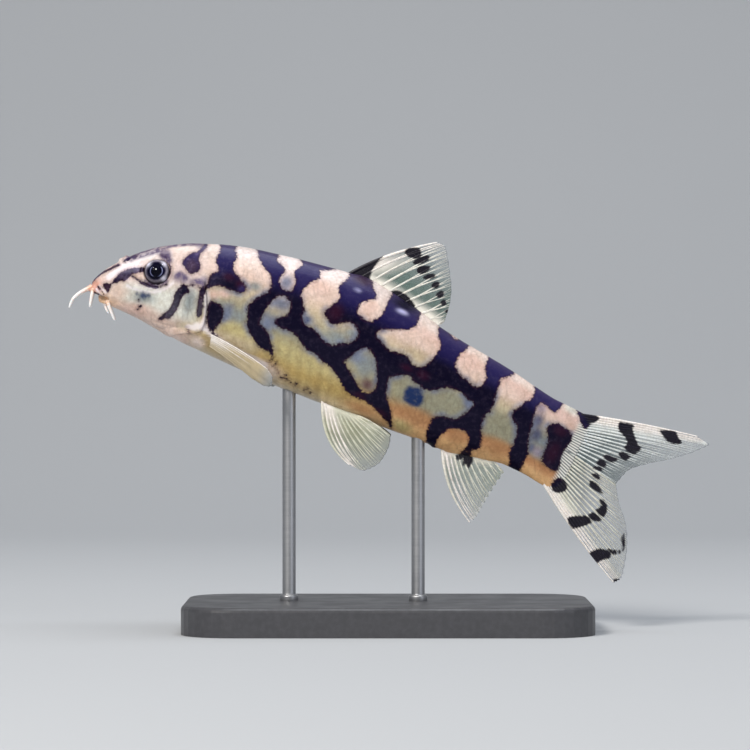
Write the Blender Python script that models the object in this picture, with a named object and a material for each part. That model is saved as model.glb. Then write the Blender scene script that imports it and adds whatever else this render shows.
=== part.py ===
"""A life-size yoyo loach, swimming nose up, on a plain display stand.

The fish is laid out in its own body coordinates, in millimetres: how far back along the
middle of the body a point lies from the snout, how high it is above that middle line, and
how far out it is to the side. body_point turns those into the row's frame, where +Z is up,
the head points to -X and the left side faces -Y. The origin is under the middle of the
part, on the floor.
"""

import math

import bmesh
import bpy
import numpy as np
from mathutils import Matrix, Vector

MM = 0.001
GAP = 0.3  # clearance that touching pieces keep, mm

# Middle line of the body, from the snout: heading below level and aside, in degrees, by distance back
BODY_LENGTH = 87.2
LINE_LENGTH = 112.0  # it runs on through the tail fin
SNOUT_X, SNOUT_Z = -51.1, 58.9
PITCH = ((0, -4), (7, 3), (14, 10), (23, 16), (32, 17.7), (41, 20), (50, 23.7), (60, 25.5), (78, 26.5), (112, 26))
SWAY = ((0, 3), (20, 1), (45, -2), (65, 0), (88, 5), (112, 4))
LINE_STEP = 0.1

# Sections of the body: distance back, back height, belly depth, half width, squareness above, below
SECTIONS = (
    (0.0, 0.0, 0.0, 0.0, 2.0, 2.0),
    (0.4, 0.95, 0.85, 1.05, 2.0, 2.0),
    (1.2, 1.8, 1.75, 1.7, 2.0, 2.0),
    (2.6, 2.9, 2.95, 2.3, 2.0, 2.1),
    (5.0, 4.4, 4.05, 3.0, 2.0, 2.2),
    (9.0, 6.5, 5.6, 4.0, 2.0, 2.3),
    (13.0, 8.0, 7.1, 4.8, 2.0, 2.35),
    (18.0, 9.3, 8.35, 5.5, 2.0, 2.3),
    (24.0, 10.4, 9.3, 6.0, 2.0, 2.2),
    (31.0, 11.0, 10.25, 6.3, 1.95, 2.15),
    (38.0, 11.5, 10.9, 6.3, 1.9, 2.1),
    (44.0, 11.8, 11.0, 6.1, 1.9, 2.1),
    (50.0, 10.9, 10.8, 5.7, 1.9, 2.1),
    (57.0, 9.6, 10.4, 5.05, 1.9, 2.05),
    (64.0, 8.75, 9.8, 4.3, 1.95, 2.0),
    (68.5, 8.4, 9.3, 3.8, 2.0, 2.0),
    (73.0, 8.0, 8.1, 3.3, 2.0, 2.0),
    (78.0, 7.35, 7.1, 2.7, 2.0, 2.0),
    (82.5, 6.95, 6.95, 2.05, 2.0, 2.0),
    (87.2, 7.0, 7.5, 1.1, 2.0, 2.0),
)
AROUND = 40  # sides of a body section
HEAD_RINGS, TRUNK_RINGS, STEM_RINGS = 20, 22, 9
CUTTER_RINGS = 70  # sections of the enlarged body that trims what grows from it

# The gill cover's edge, where the head ends: angle round the section, distance back
GILL_EDGE = ((-90, 14.5), (-65, 15.6), (-48, 17.8), (-37, 20.1), (-24, 20.9), (-8, 20.6), (12, 19.5), (45, 19), (90, 19))
GILL_FLARE = 0.4  # how far it stands proud of the shoulder
GILL_FLARE_LENGTH = 0.16  # share of the head that the flare takes
GILL_HUB = 18.4  # distance back of the middle of the cut between head and trunk
VENT = 67.6  # the trunk ends and the tail stem starts

# Eyes
EYE = {"back": 11.1, "height": 2.9, "radius": 2.0, "thickness": 1.75, "proud": 0.75}
EYE_RIM = {"radius": 2.5, "thick": 0.38, "proud": -0.14, "stations": 24, "sides": 6}

# Nostrils, short tubes high on the snout
NOSTRIL = {"back": 5.8, "angle": 60, "outer": 0.6, "bore": 0.3, "tall": 0.5, "sunk": 0.7}

# Mouth, under the snout. A lip's path runs from its middle to its corner: back, height, out, radius.
UPPER_LIP = ((0.25, -0.25, 0.0, 0.6), (0.55, -0.4, 0.75, 0.6), (1.8, -1.0, 1.4, 0.52), (3.3, -1.8, 1.75, 0.42))
LOWER_LIP = ((1.9, -2.45, 0.0, 0.62), (2.1, -2.5, 0.55, 0.68), (2.8, -2.7, 1.1, 0.6), (3.7, -2.75, 1.6, 0.45))
MOUTH_SLIT = {"back": 1.35, "height": -1.4, "length": 1.4, "wide": 1.3, "tall": 0.44, "turn": -34}
LIP_SIDES, LIP_STEPS = 8, 6

# Barbels, each from its root on the lips to its tip: back, height, out
BARBELS = {
    "barbel_snout_front": ((0.2, 0.0, 0.6), (-1.7, -0.75, 0.95), (-3.25, -1.95, 1.15), (-3.9, -3.3, 1.15)),
    "barbel_snout_rear": ((0.5, -0.45, 1.2), (0.1, -1.5, 1.65), (-0.15, -2.5, 1.85), (-0.4, -3.45, 1.9)),
    "barbel_mouth": ((2.9, -2.6, 1.75), (3.2, -3.6, 2.15), (3.7, -4.8, 2.25), (4.2, -5.9, 2.15)),
    "barbel_chin": ((2.4, -3.0, 0.5), (2.5, -3.6, 0.62), (2.7, -4.15, 0.68), (3.0, -4.6, 0.68)),
}
BARBEL_ROOT, BARBEL_TIP = 0.42, 0.25  # radii
BARBEL_SIDES, BARBEL_STEPS = 8, 8

# Fins
FIN_MEMBRANE = 0.5  # thickness between the rays
FIN_RAY_ROOT, FIN_RAY_TIP = 1.0, 0.55  # thickness over a ray at the root and near the tip
FIN_EDGE = 0.3  # thickness at the outer edge
FIN_ROWS = 5
RAY_FOOT = 0.3  # how far a ray's ridge reaches towards the next, as a share of their spacing
SCALLOP = 0.15  # how far the membrane falls short between two ray tips
FIN_SUNK = 1.6  # how deep a root line lies inside the body before it is cut back

# Each fin's rays spread evenly from its root line to its edge line, first ray first: back, height, out.
# bow bends the first and the last ray within the fin, and curl waves its edge sideways.
FINS = {
    "dorsal_fin": {
        "rays": 11, "bow": (0.6, -0.3), "curl": 0.5, "paired": False,
        "root": ((42.2, 11.9, 0), (50.0, 10.7, 0), (57.6, 9.3, 0)),
        "edge": ((52.6, 22.6, 0), (53.7, 22.7, 0), (54.9, 21.1, 0), (56.3, 18.7, 0), (57.7, 16.2, 0),
                 (58.6, 13.4, 0), (59.0, 10.6, 0)),
    },
    "anal_fin": {
        "rays": 8, "bow": (1.3, -0.2), "curl": 0.4, "paired": False,
        "root": ((68.7, -9.5, 0), (71.8, -8.4, 0), (76.2, -7.3, 0)),
        "edge": ((78.2, -18.6, 0), (78.8, -17.2, 0), (78.9, -15.4, 0), (79.0, -13.2, 0), (79.2, -10.8, 0),
                 (79.5, -8.3, 0)),
    },
    "pelvic_fin": {
        "rays": 9, "bow": (1.8, -0.4), "curl": 0.4, "paired": True,
        "root": ((46.0, -10.7, 2.1), (49.3, -10.8, 2.1), (52.6, -10.6, 2.0)),
        "edge": ((54.8, -18.6, 4.4), (56.8, -18.6, 4.7), (58.5, -17.4, 5.0), (59.5, -15.6, 5.0), (59.7, -13.4, 4.9),
                 (59.1, -11.1, 4.5)),
    },
    "pectoral_fin": {
        "rays": 9, "bow": (0.4, 0.2), "curl": 0.4, "paired": True,
        "root": ((20.5, -5.5, 4.3), (20.8, -6.3, 3.85), (21.0, -7.1, 3.2)),
        "edge": ((34.4, -8.5, 7.3), (35.7, -9.4, 7.3), (36.0, -10.8, 6.9), (34.4, -11.4, 6.3), (32.0, -11.0, 5.7)),
    },
    "tail_fin_upper": {
        "rays": 12, "bow": (0.35, 0.0), "curl": 0.4, "paired": False,
        "root": ((86.2, 6.2, 0), (87.0, 3.2, 0), (87.2, 0.35, 0)),
        "edge": ((107.2, 12.2, 0), (109.5, 11.8, 0), (108.0, 9.9, 0), (104.8, 6.8, 0), (101.3, 4.1, 0), (98.7, 1.4, 0),
                 (97.9, -1.3, 0)),
    },
    "tail_fin_lower": {
        "rays": 12, "bow": (0.0, -0.5), "curl": -0.4, "paired": False,
        "root": ((87.2, -0.35, 0), (87.0, -3.6, 0), (86.4, -6.7, 0)),
        "edge": ((98.1, -2.0, 0), (99.6, -3.9, 0), (103.0, -7.5, 0), (105.0, -11.8, 0), (105.8, -15.4, 0),
                 (105.0, -16.9, 0)),
    },
}

# Display stand
BASE = {"length": 70.0, "width": 40.0, "height": 5.0, "corner": 9.0, "edge": 0.8}
ROD_RADIUS = 1.15
ROD_X = {"front": -17.0, "rear": 5.2}
ROD_SIDES = 20
ROD_IN_BASE, ROD_IN_FISH = 3.0, 2.6

COLOURS = {
    "head": ((0.72, 0.66, 0.58), 0.4, 0.0),
    "trunk": ((0.30, 0.26, 0.33), 0.4, 0.0),
    "stem": ((0.36, 0.30, 0.34), 0.4, 0.0),
    "fin": ((0.72, 0.75, 0.69), 0.45, 0.0),
    "eye": ((0.03, 0.03, 0.05), 0.12, 0.0),
    "barbel": ((0.88, 0.74, 0.64), 0.45, 0.0),
    "base": ((0.10, 0.10, 0.11), 0.5, 0.0),
    "rod": ((0.70, 0.70, 0.72), 0.3, 1.0),
}


def smooth(keys):
    """A curve through (place, value, ...) keys that never overshoots them, as a function of place."""
    table = np.array(keys, float)
    place, values = table[:, 0], table[:, 1:]
    step = np.diff(place)[:, None]
    rise = np.diff(values, axis=0) / step
    slope = np.zeros_like(values)
    slope[0], slope[-1] = rise[0], rise[-1]
    turning = rise[:-1] * rise[1:] <= 0
    before, after = 2 * step[1:] + step[:-1], step[1:] + 2 * step[:-1]
    with np.errstate(divide="ignore", invalid="ignore"):
        mean = (before + after) / (before / rise[:-1] + after / rise[1:])
    slope[1:-1] = np.where(turning, 0.0, mean)

    def at(where):
        i = int(np.clip(np.searchsorted(place, where) - 1, 0, len(place) - 2))
        width = place[i + 1] - place[i]
        t = min(max((where - place[i]) / width, 0.0), 1.0)
        found = (
            (1 + 2 * t) * (1 - t) ** 2 * values[i]
            + t * (1 - t) ** 2 * width * slope[i]
            + t * t * (3 - 2 * t) * values[i + 1]
            + t * t * (t - 1) * width * slope[i + 1]
        )
        return found if len(found) > 1 else float(found[0])

    return at


def middle_line():
    """Points of the body's middle line, LINE_STEP apart, from the pitch and the sway along it."""
    pitch, sway = smooth(PITCH), smooth(SWAY)
    points = [Vector((SNOUT_X, 0.0, SNOUT_Z))]
    for n in range(round(LINE_LENGTH / LINE_STEP) + 1):
        down, aside = math.radians(pitch(n * LINE_STEP)), math.radians(sway(n * LINE_STEP))
        heading = Vector((math.cos(down) * math.cos(aside), math.sin(aside), -math.sin(down)))
        points.append(points[-1] + heading * LINE_STEP)
    return points


LINE = middle_line()
section_at = smooth(SECTIONS)
gill_edge = smooth(GILL_EDGE)


def line_frame(back):
    """The middle line's point at this distance back, and its directions: tailward, up, and to the left."""
    n = min(max(back / LINE_STEP, 0.0), len(LINE) - 2.001)
    i = int(n)
    tailward = (LINE[i + 1] - LINE[i]).normalized()
    left = tailward.cross(Vector((0, 0, 1))).normalized()
    point = LINE[i].lerp(LINE[i + 1], n - i) + tailward * min(back, 0.0)
    return point, tailward, left.cross(tailward), left


def body_point(back, height, out):
    """A point given in body coordinates, in the row's frame, in millimetres."""
    point, _, up, left = line_frame(back)
    return point + up * height + left * out


def skin_point(back, angle, grow=0.0):
    """The body's surface at an angle round its section: 0 is the left side, 90 the back, -90 the belly."""
    high, deep, wide, square_up, square_down = section_at(back)
    turn = math.radians(angle)
    c, s = math.cos(turn), math.sin(turn)
    power = 2 / (square_up if s > 0 else square_down)
    tall = (high if s > 0 else deep) + grow
    height = tall * math.copysign(abs(s) ** power, s)
    out = (wide + grow) * math.copysign(abs(c) ** power, c)
    return body_point(back, height, out)


def skin_normal(back, angle):
    """The direction straight out of the body's surface there."""
    along = skin_point(back + 0.2, angle) - skin_point(back - 0.2, angle)
    round_it = skin_point(back, angle + 2) - skin_point(back, angle - 2)
    return round_it.cross(along).normalized() * -1


def flare(angle):
    """How much of the gill cover's flare there is at this angle: all of it on the cheek, none on the nape."""
    side = angle if angle <= 90 else 180 - angle
    return max(0.0, min(1.0, (40 - side) / 40)) * max(0.0, min(1.0, (side + 95) / 25))


def side_angle(n):
    """The angle of side n of a section, and the same angle folded onto the left half."""
    angle = -90 + 360 * n / AROUND
    return angle, (angle if angle <= 90 else 180 - angle)


# Building blocks

def finish_object(name, mesh, look):
    """Adds a mesh in millimetres to the scene as a named object in metres with its own material."""
    mesh.transform(Matrix.Scale(MM, 4))
    obj = bpy.data.objects.new(name, mesh)
    bpy.context.scene.collection.objects.link(obj)
    if look:
        colour, rough, metal = COLOURS[look]
        material = bpy.data.materials.new(name)
        material.use_nodes = True
        shader = material.node_tree.nodes["Principled BSDF"]
        shader.inputs["Base Color"].default_value = (*colour, 1)
        shader.inputs["Roughness"].default_value = rough
        shader.inputs["Metallic"].default_value = metal
        mesh.materials.append(material)
        mesh.shade_smooth()
        mesh.set_sharp_from_angle(angle=math.radians(50))
    return obj


def mesh_from(bm, name):
    """A mesh of a bmesh, as triangles that face outwards."""
    bmesh.ops.triangulate(bm, faces=[f for f in bm.faces if len(f.verts) > 3])
    bmesh.ops.recalc_face_normals(bm, faces=bm.faces)
    mesh = bpy.data.meshes.new(name)
    bm.to_mesh(mesh)
    bm.free()
    return mesh


def loft(name, rings, first_hub, last_hub):
    """A closed tube through rings of points, shut at each end by a fan to its hub."""
    bm = bmesh.new()
    rows = [[bm.verts.new(p) for p in ring] for ring in rings]
    hubs = bm.verts.new(first_hub), bm.verts.new(last_hub)
    sides = len(rings[0])
    for n in range(sides):
        m = (n + 1) % sides
        for low, high in zip(rows, rows[1:]):
            bm.faces.new((low[n], low[m], high[m], high[n]))
        bm.faces.new((rows[0][m], rows[0][n], hubs[0]))
        bm.faces.new((rows[-1][n], rows[-1][m], hubs[1]))
    return mesh_from(bm, name)


def tube(name, path, sides):
    """A round tapered tube along (point, radius) stops, with rounded ends."""
    rings = []
    for i, (point, radius) in enumerate(path):
        ahead = path[min(i + 1, len(path) - 1)][0] - path[max(i - 1, 0)][0]
        turn = ahead.to_track_quat("Z", "Y")
        ring = [turn @ Vector((math.cos(a), math.sin(a), 0)) * radius + point
                for a in (2 * math.pi * k / sides for k in range(sides))]
        rings.append(ring)
    start = path[0][0] + (path[0][0] - path[1][0]).normalized() * path[0][1] * 0.3
    end = path[-1][0] + (path[-1][0] - path[-2][0]).normalized() * path[-1][1] * 0.8
    return loft(name, rings, start, end)


def curve_through(points, steps):
    """Points on one smooth curve through the given ones, which are tuples of any length."""
    at = smooth([(i, *p) for i, p in enumerate(points)])
    return [at((len(points) - 1) * n / steps) for n in range(steps + 1)]


def boolean(obj, others, operation, solver="EXACT"):
    """Joins the other objects to this one, or cuts them from it, and removes them."""
    group = bpy.data.collections.new("operands")
    bpy.context.scene.collection.children.link(group)
    for other in others:
        group.objects.link(other)
    modifier = obj.modifiers.new(operation, "BOOLEAN")
    modifier.operation = operation
    modifier.operand_type = "COLLECTION"
    modifier.collection = group
    modifier.solver = solver
    bpy.context.view_layer.update()
    evaluated = obj.evaluated_get(bpy.context.evaluated_depsgraph_get())
    mesh = bpy.data.meshes.new_from_object(evaluated)
    obj.modifiers.clear()
    obj.data = mesh
    for other in others:
        bpy.data.objects.remove(other)
    bpy.data.collections.remove(group)
    keep_largest(obj)


def keep_largest(obj):
    """Drops loose scraps: only the shell with the most faces stays."""
    bm = bmesh.new()
    bm.from_mesh(obj.data)
    bmesh.ops.remove_doubles(bm, verts=bm.verts, dist=0.002 * MM)
    bmesh.ops.dissolve_degenerate(bm, edges=bm.edges, dist=0.002 * MM)
    bmesh.ops.triangulate(bm, faces=bm.faces)
    left, shells = set(bm.faces), []
    while left:
        shell, front = set(), [left.pop()]
        while front:
            face = front.pop()
            shell.add(face)
            for edge in face.edges:
                for near in edge.link_faces:
                    if near in left:
                        left.remove(near)
                        front.append(near)
        shells.append(shell)
    largest = max(shells, key=len)
    scraps = [f for shell in shells if shell is not largest for f in shell]
    bmesh.ops.delete(bm, geom=scraps, context="FACES")
    bm.to_mesh(obj.data)
    bm.free()


def whole_body(grow):
    """The bare body from snout to tail base, made larger all over, as a cutter."""
    rings = []
    for k in range(CUTTER_RINGS + 1):
        back = 0.15 + (BODY_LENGTH - 0.15) * k / CUTTER_RINGS
        rings.append([skin_point(back, side_angle(n)[0], grow) for n in range(AROUND)])
    end, tailward, _, _ = line_frame(BODY_LENGTH)
    rings.append([p + tailward * grow for p in rings[-1]])
    hub = body_point(0, 0, 0) - line_frame(0)[1] * grow
    return finish_object("cutter", loft("cutter", rings, hub, end + tailward * grow), None)


# The body

def head_ring(share):
    """One ring of the head, from the snout at 0 to the gill opening at 1."""
    ring = []
    for n in range(AROUND):
        angle, folded = side_angle(n)
        rise = max(0.0, (share - 1 + GILL_FLARE_LENGTH) / GILL_FLARE_LENGTH) ** 2
        ring.append(skin_point(share * gill_edge(folded), angle, GILL_FLARE * flare(angle) * rise))
    return ring


def head():
    shares = [0.007 + 0.993 * (k / HEAD_RINGS) ** 1.35 for k in range(HEAD_RINGS + 1)]
    mesh = loft("head", [head_ring(s) for s in shares], body_point(0, 0, 0), body_point(GILL_HUB, 0, 0))
    obj = finish_object("head", mesh, "head")
    boolean(obj, [*lips(), *eye_rims(), *nostril_tubes()], "UNION")
    boolean(obj, [*eye_solids(GAP), *nostril_bores(), mouth_slit()], "DIFFERENCE")
    return obj


def lips(grow=0.0):
    made = []
    for name, path in (("upper_lip", UPPER_LIP), ("lower_lip", LOWER_LIP)):
        half = curve_through(path, LIP_STEPS)
        whole = [(b, h, -o, r) for b, h, o, r in reversed(half[1:])] + half
        stops = [(body_point(b, h, o), r + grow) for b, h, o, r in whole]
        made.append(finish_object(name, tube(name, stops, LIP_SIDES), None))
    return made


def mouth_slit():
    """The gap between the lips: a flat ellipsoid, tilted along the mouth."""
    s = MOUTH_SLIT
    point, tailward, up, left = line_frame(s["back"])
    bm = bmesh.new()
    bmesh.ops.create_uvsphere(bm, u_segments=16, v_segments=8, radius=1)
    frame = Matrix((tailward, left, up)).transposed().to_4x4()
    size = Matrix.Diagonal((s["length"], s["wide"], s["tall"], 1))
    tilt = Matrix.Rotation(math.radians(-s["turn"]), 4, "Y")
    bm.transform(Matrix.Translation(point + up * s["height"]) @ frame @ tilt @ size)
    return finish_object("mouth_slit", mesh_from(bm, "mouth_slit"), None)


def eye_angle():
    """The angle round the section at which the eye's height is met."""
    high, _, _, square_up, _ = section_at(EYE["back"])
    return math.degrees(math.asin((EYE["height"] / high) ** (square_up / 2)))


def eye_frame(side):
    """A matrix at the skin over the eye, with Z straight out."""
    angle = eye_angle() if side > 0 else 180 - eye_angle()
    out = skin_normal(EYE["back"], angle)
    turn = out.to_track_quat("Z", "Y").to_matrix().to_4x4()
    return Matrix.Translation(skin_point(EYE["back"], angle)) @ turn


def eye_solids(grow, names=("socket", "socket")):
    """Both eyeballs, flattened front to back and made larger by grow."""
    made = []
    for side, name in zip((1, -1), names):
        bm = bmesh.new()
        bmesh.ops.create_uvsphere(bm, u_segments=20, v_segments=12, radius=1)
        wide, thick = EYE["radius"] + grow, EYE["thickness"] + grow
        sunk = Matrix.Translation((0, 0, EYE["proud"] - EYE["thickness"]))
        bm.transform(eye_frame(side) @ sunk @ Matrix.Diagonal((wide, wide, thick, 1)))
        made.append(finish_object(name, mesh_from(bm, name), None if grow else "eye"))
    return made


def eye_rims():
    """The fleshy ring round each eye."""
    made = []
    for side in (1, -1):
        stops = []
        for k in range(EYE_RIM["stations"]):
            turn = 2 * math.pi * k / EYE_RIM["stations"]
            spot = Vector((math.cos(turn), math.sin(turn), 0)) * EYE_RIM["radius"]
            stops.append(eye_frame(side) @ (spot + Vector((0, 0, EYE_RIM["proud"]))))
        bm = bmesh.new()
        rows = []
        centre = eye_frame(side) @ Vector((0, 0, EYE_RIM["proud"]))
        out = (eye_frame(side).to_3x3() @ Vector((0, 0, 1))).normalized()
        for stop in stops:
            spoke = (stop - centre).normalized()
            rows.append([bm.verts.new(stop + (spoke * math.cos(a) + out * math.sin(a)) * EYE_RIM["thick"])
                         for a in (2 * math.pi * j / EYE_RIM["sides"] for j in range(EYE_RIM["sides"]))])
        for row, following in zip(rows, rows[1:] + rows[:1]):
            for j in range(EYE_RIM["sides"]):
                k = (j + 1) % EYE_RIM["sides"]
                bm.faces.new((row[j], row[k], following[k], following[j]))
        made.append(finish_object("eye_rim", mesh_from(bm, "eye_rim"), None))
    return made


def nostril_cones(radius, taper, low, high):
    """A short cone at each nostril, from low to high along the skin's normal."""
    made = []
    for angle in (NOSTRIL["angle"], 180 - NOSTRIL["angle"]):
        out = skin_normal(NOSTRIL["back"], angle)
        middle = skin_point(NOSTRIL["back"], angle) + out * (low + high) / 2
        bm = bmesh.new()
        bmesh.ops.create_cone(bm, cap_ends=True, segments=12, radius1=radius, radius2=radius * taper, depth=high - low)
        bm.transform(Matrix.Translation(middle) @ out.to_track_quat("Z", "Y").to_matrix().to_4x4())
        made.append(finish_object("nostril", mesh_from(bm, "nostril"), None))
    return made


def nostril_tubes():
    return nostril_cones(NOSTRIL["outer"] * 1.25, 0.8, -NOSTRIL["sunk"], NOSTRIL["tall"])


def nostril_bores():
    return nostril_cones(NOSTRIL["bore"], 1.0, -NOSTRIL["sunk"] * 0.6, NOSTRIL["tall"] + 0.5)


def trunk():
    rings = []
    for k in range(TRUNK_RINGS + 1):
        share = k / TRUNK_RINGS
        ring = []
        for n in range(AROUND):
            angle, folded = side_angle(n)
            start = gill_edge(folded) + GAP * 1.3
            ring.append(skin_point(start + (VENT - start) * share, angle))
        rings.append(ring)
    mesh = loft("trunk", rings, body_point(GILL_HUB + GAP * 1.3, 0, 0), body_point(VENT, 0, 0))
    obj = finish_object("trunk", mesh, "trunk")
    boolean(obj, [rod_solid(x, GAP) for x in ROD_X.values()], "DIFFERENCE")
    return obj


def tail_stem():
    rings = []
    for k in range(STEM_RINGS + 1):
        back = VENT + GAP + (BODY_LENGTH - VENT - GAP) * k / STEM_RINGS
        rings.append([skin_point(back, side_angle(n)[0]) for n in range(AROUND)])
    mesh = loft("tail_stem", rings, body_point(VENT + GAP, 0, 0), body_point(BODY_LENGTH, 0, 0))
    return finish_object("tail_stem", mesh, "stem")


def barbels():
    for name, points in BARBELS.items():
        for side, word in ((1, "left"), (-1, "right")):
            path = curve_through(points, BARBEL_STEPS)
            stops = [(body_point(b, h, o * side), BARBEL_ROOT + (BARBEL_TIP - BARBEL_ROOT) * k / BARBEL_STEPS)
                     for k, (b, h, o) in enumerate(path)]
            full = f"{name}_{word}"
            obj = finish_object(full, tube(full, stops, BARBEL_SIDES), "barbel")
            boolean(obj, [whole_body(GAP), *lips(GAP)], "DIFFERENCE")


# Fins

def fin_columns(fin):
    """Lines across the fin from root to edge: each ray's crest, and the feet of its ridge beside it."""
    last = fin["rays"] - 1
    roots, tips = curve_through(fin["root"], last), curve_through(fin["edge"], last)
    columns = []
    for i in range(last + 1):
        columns.append((roots[i], tips[i], True))
        for share in (RAY_FOOT, 1 - RAY_FOOT) if i < last else ():
            root = roots[i] + (roots[i + 1] - roots[i]) * share
            tip = tips[i] + (tips[i + 1] - tips[i]) * share
            columns.append((root, tip - (tip - root) / np.linalg.norm(tip - root) * SCALLOP, False))
    return columns


def fin_mesh(name, fin, side):
    """A closed fin: a membrane with its rays as ridges, split into triangles alike on both faces."""
    columns = fin_columns(fin)
    spread = columns[-1][1] - columns[0][1]
    normal = np.cross(spread, columns[0][1] - columns[0][0])
    normal = normal / np.linalg.norm(normal)
    bm = bmesh.new()
    grid = []
    for number, (root, tip, crest) in enumerate(columns):
        across = number / (len(columns) - 1)
        along = (tip - root) / np.linalg.norm(tip - root)
        aside = np.cross(normal, along) * (fin["bow"][0] + (fin["bow"][1] - fin["bow"][0]) * across)
        curl = normal * fin["curl"] * math.sin(1.5 * math.pi * across)
        start = root - along * FIN_SUNK
        column = []
        for row in range(FIN_ROWS + 1):
            share = row / FIN_ROWS
            spot = start + (tip - start) * share + aside * 4 * share * (1 - share) + curl * share * share
            thick = FIN_RAY_ROOT + (FIN_RAY_TIP - FIN_RAY_ROOT) * share if crest else FIN_MEMBRANE
            half = normal * (FIN_EDGE if row == FIN_ROWS else thick) / 2
            column.append([bm.verts.new(body_point(b, h, o * side)) for b, h, o in (spot + half, spot - half)])
        grid.append(column)
    for left, right in zip(grid, grid[1:]):
        for low in range(FIN_ROWS):
            for face in (0, 1):
                bm.faces.new((left[low][face], right[low][face], right[low + 1][face]))
                bm.faces.new((left[low][face], right[low + 1][face], left[low + 1][face]))
        for end in (0, FIN_ROWS):
            bm.faces.new((left[end][0], left[end][1], right[end][1], right[end][0]))
    for column in (grid[0], grid[-1]):
        for low in range(FIN_ROWS):
            bm.faces.new((column[low][0], column[low][1], column[low + 1][1], column[low + 1][0]))
    return mesh_from(bm, name)


def fins():
    for name, fin in FINS.items():
        for side, word in ((1, "_left"), (-1, "_right")) if fin["paired"] else ((1, ""),):
            full = name + word
            obj = finish_object(full, fin_mesh(full, fin, side), "fin")
            # the exact solver loses a fin whose rays graze the belly
            boolean(obj, [whole_body(GAP)], "DIFFERENCE", "MANIFOLD")


# The stand

def belly_height(x):
    """The height of the belly's lowest line over a point of the base."""
    low = min(LINE, key=lambda p: abs(p.x - x))
    back = LINE.index(low) * LINE_STEP
    for _ in range(8):
        miss = skin_point(back, -90).x - x
        back -= miss
    return skin_point(back, -90).z


def rod_solid(x, grow, name="rod", look=None):
    """A rod from its socket in the base to its socket in the belly."""
    low = BASE["height"] - ROD_IN_BASE - grow
    high = belly_height(x) + ROD_IN_FISH + grow
    bm = bmesh.new()
    bmesh.ops.create_cone(bm, cap_ends=True, segments=ROD_SIDES, radius1=ROD_RADIUS + grow,
                          radius2=ROD_RADIUS + grow, depth=high - low)
    bm.transform(Matrix.Translation((x, AXIS_Y[x], (low + high) / 2)))
    return finish_object(name, mesh_from(bm, name), look)


def stand():
    bm = bmesh.new()
    bmesh.ops.create_cube(bm, size=1)
    bm.transform(Matrix.Translation((0, 0, BASE["height"] / 2))
                 @ Matrix.Diagonal((BASE["length"], BASE["width"], BASE["height"], 1)))
    upright = [e for e in bm.edges if abs(e.verts[0].co.z - e.verts[1].co.z) > 1]
    bmesh.ops.bevel(bm, geom=upright, offset=BASE["corner"], segments=8, profile=0.5, affect="EDGES", material=-1)
    rim = [e for e in bm.edges if min(v.co.z for v in e.verts) > BASE["height"] - 0.01]
    bmesh.ops.bevel(bm, geom=rim, offset=BASE["edge"], segments=3, profile=0.5, affect="EDGES", material=-1)
    base = finish_object("stand_base", mesh_from(bm, "stand_base"), "base")
    boolean(base, [rod_solid(x, GAP) for x in ROD_X.values()], "DIFFERENCE")
    for word, x in ROD_X.items():
        name = f"stand_rod_{word}"
        rod_solid(x, 0, name, "rod")


def axis_side(x):
    """How far aside the body's middle line runs over a point of the base."""
    return min(LINE, key=lambda p: abs(p.x - x)).y


AXIS_Y = {x: axis_side(x) for x in ROD_X.values()}


def main():
    for obj in list(bpy.data.objects):
        bpy.data.objects.remove(obj)
    head()
    eye_solids(0, ("eye_left", "eye_right"))
    trunk()
    tail_stem()
    barbels()
    fins()
    stand()


main()
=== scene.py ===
import math

import bmesh
import bpy
import numpy as np
from mathutils import Matrix, Vector, noise


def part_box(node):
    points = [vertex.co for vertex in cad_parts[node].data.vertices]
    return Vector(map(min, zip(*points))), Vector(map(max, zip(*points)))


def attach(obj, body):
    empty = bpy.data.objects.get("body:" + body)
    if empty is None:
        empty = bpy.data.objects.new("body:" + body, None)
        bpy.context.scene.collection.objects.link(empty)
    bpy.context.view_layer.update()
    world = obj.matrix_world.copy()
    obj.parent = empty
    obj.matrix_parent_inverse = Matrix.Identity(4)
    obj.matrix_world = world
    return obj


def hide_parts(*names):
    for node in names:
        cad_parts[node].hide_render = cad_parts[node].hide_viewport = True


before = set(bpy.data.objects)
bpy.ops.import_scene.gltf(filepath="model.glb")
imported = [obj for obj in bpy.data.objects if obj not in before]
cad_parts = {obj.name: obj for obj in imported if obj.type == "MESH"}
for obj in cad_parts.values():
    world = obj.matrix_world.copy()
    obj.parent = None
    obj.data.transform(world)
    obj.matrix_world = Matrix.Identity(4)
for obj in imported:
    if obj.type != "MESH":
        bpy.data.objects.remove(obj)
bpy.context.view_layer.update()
scene = bpy.context.scene
mm = 0.001

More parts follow.
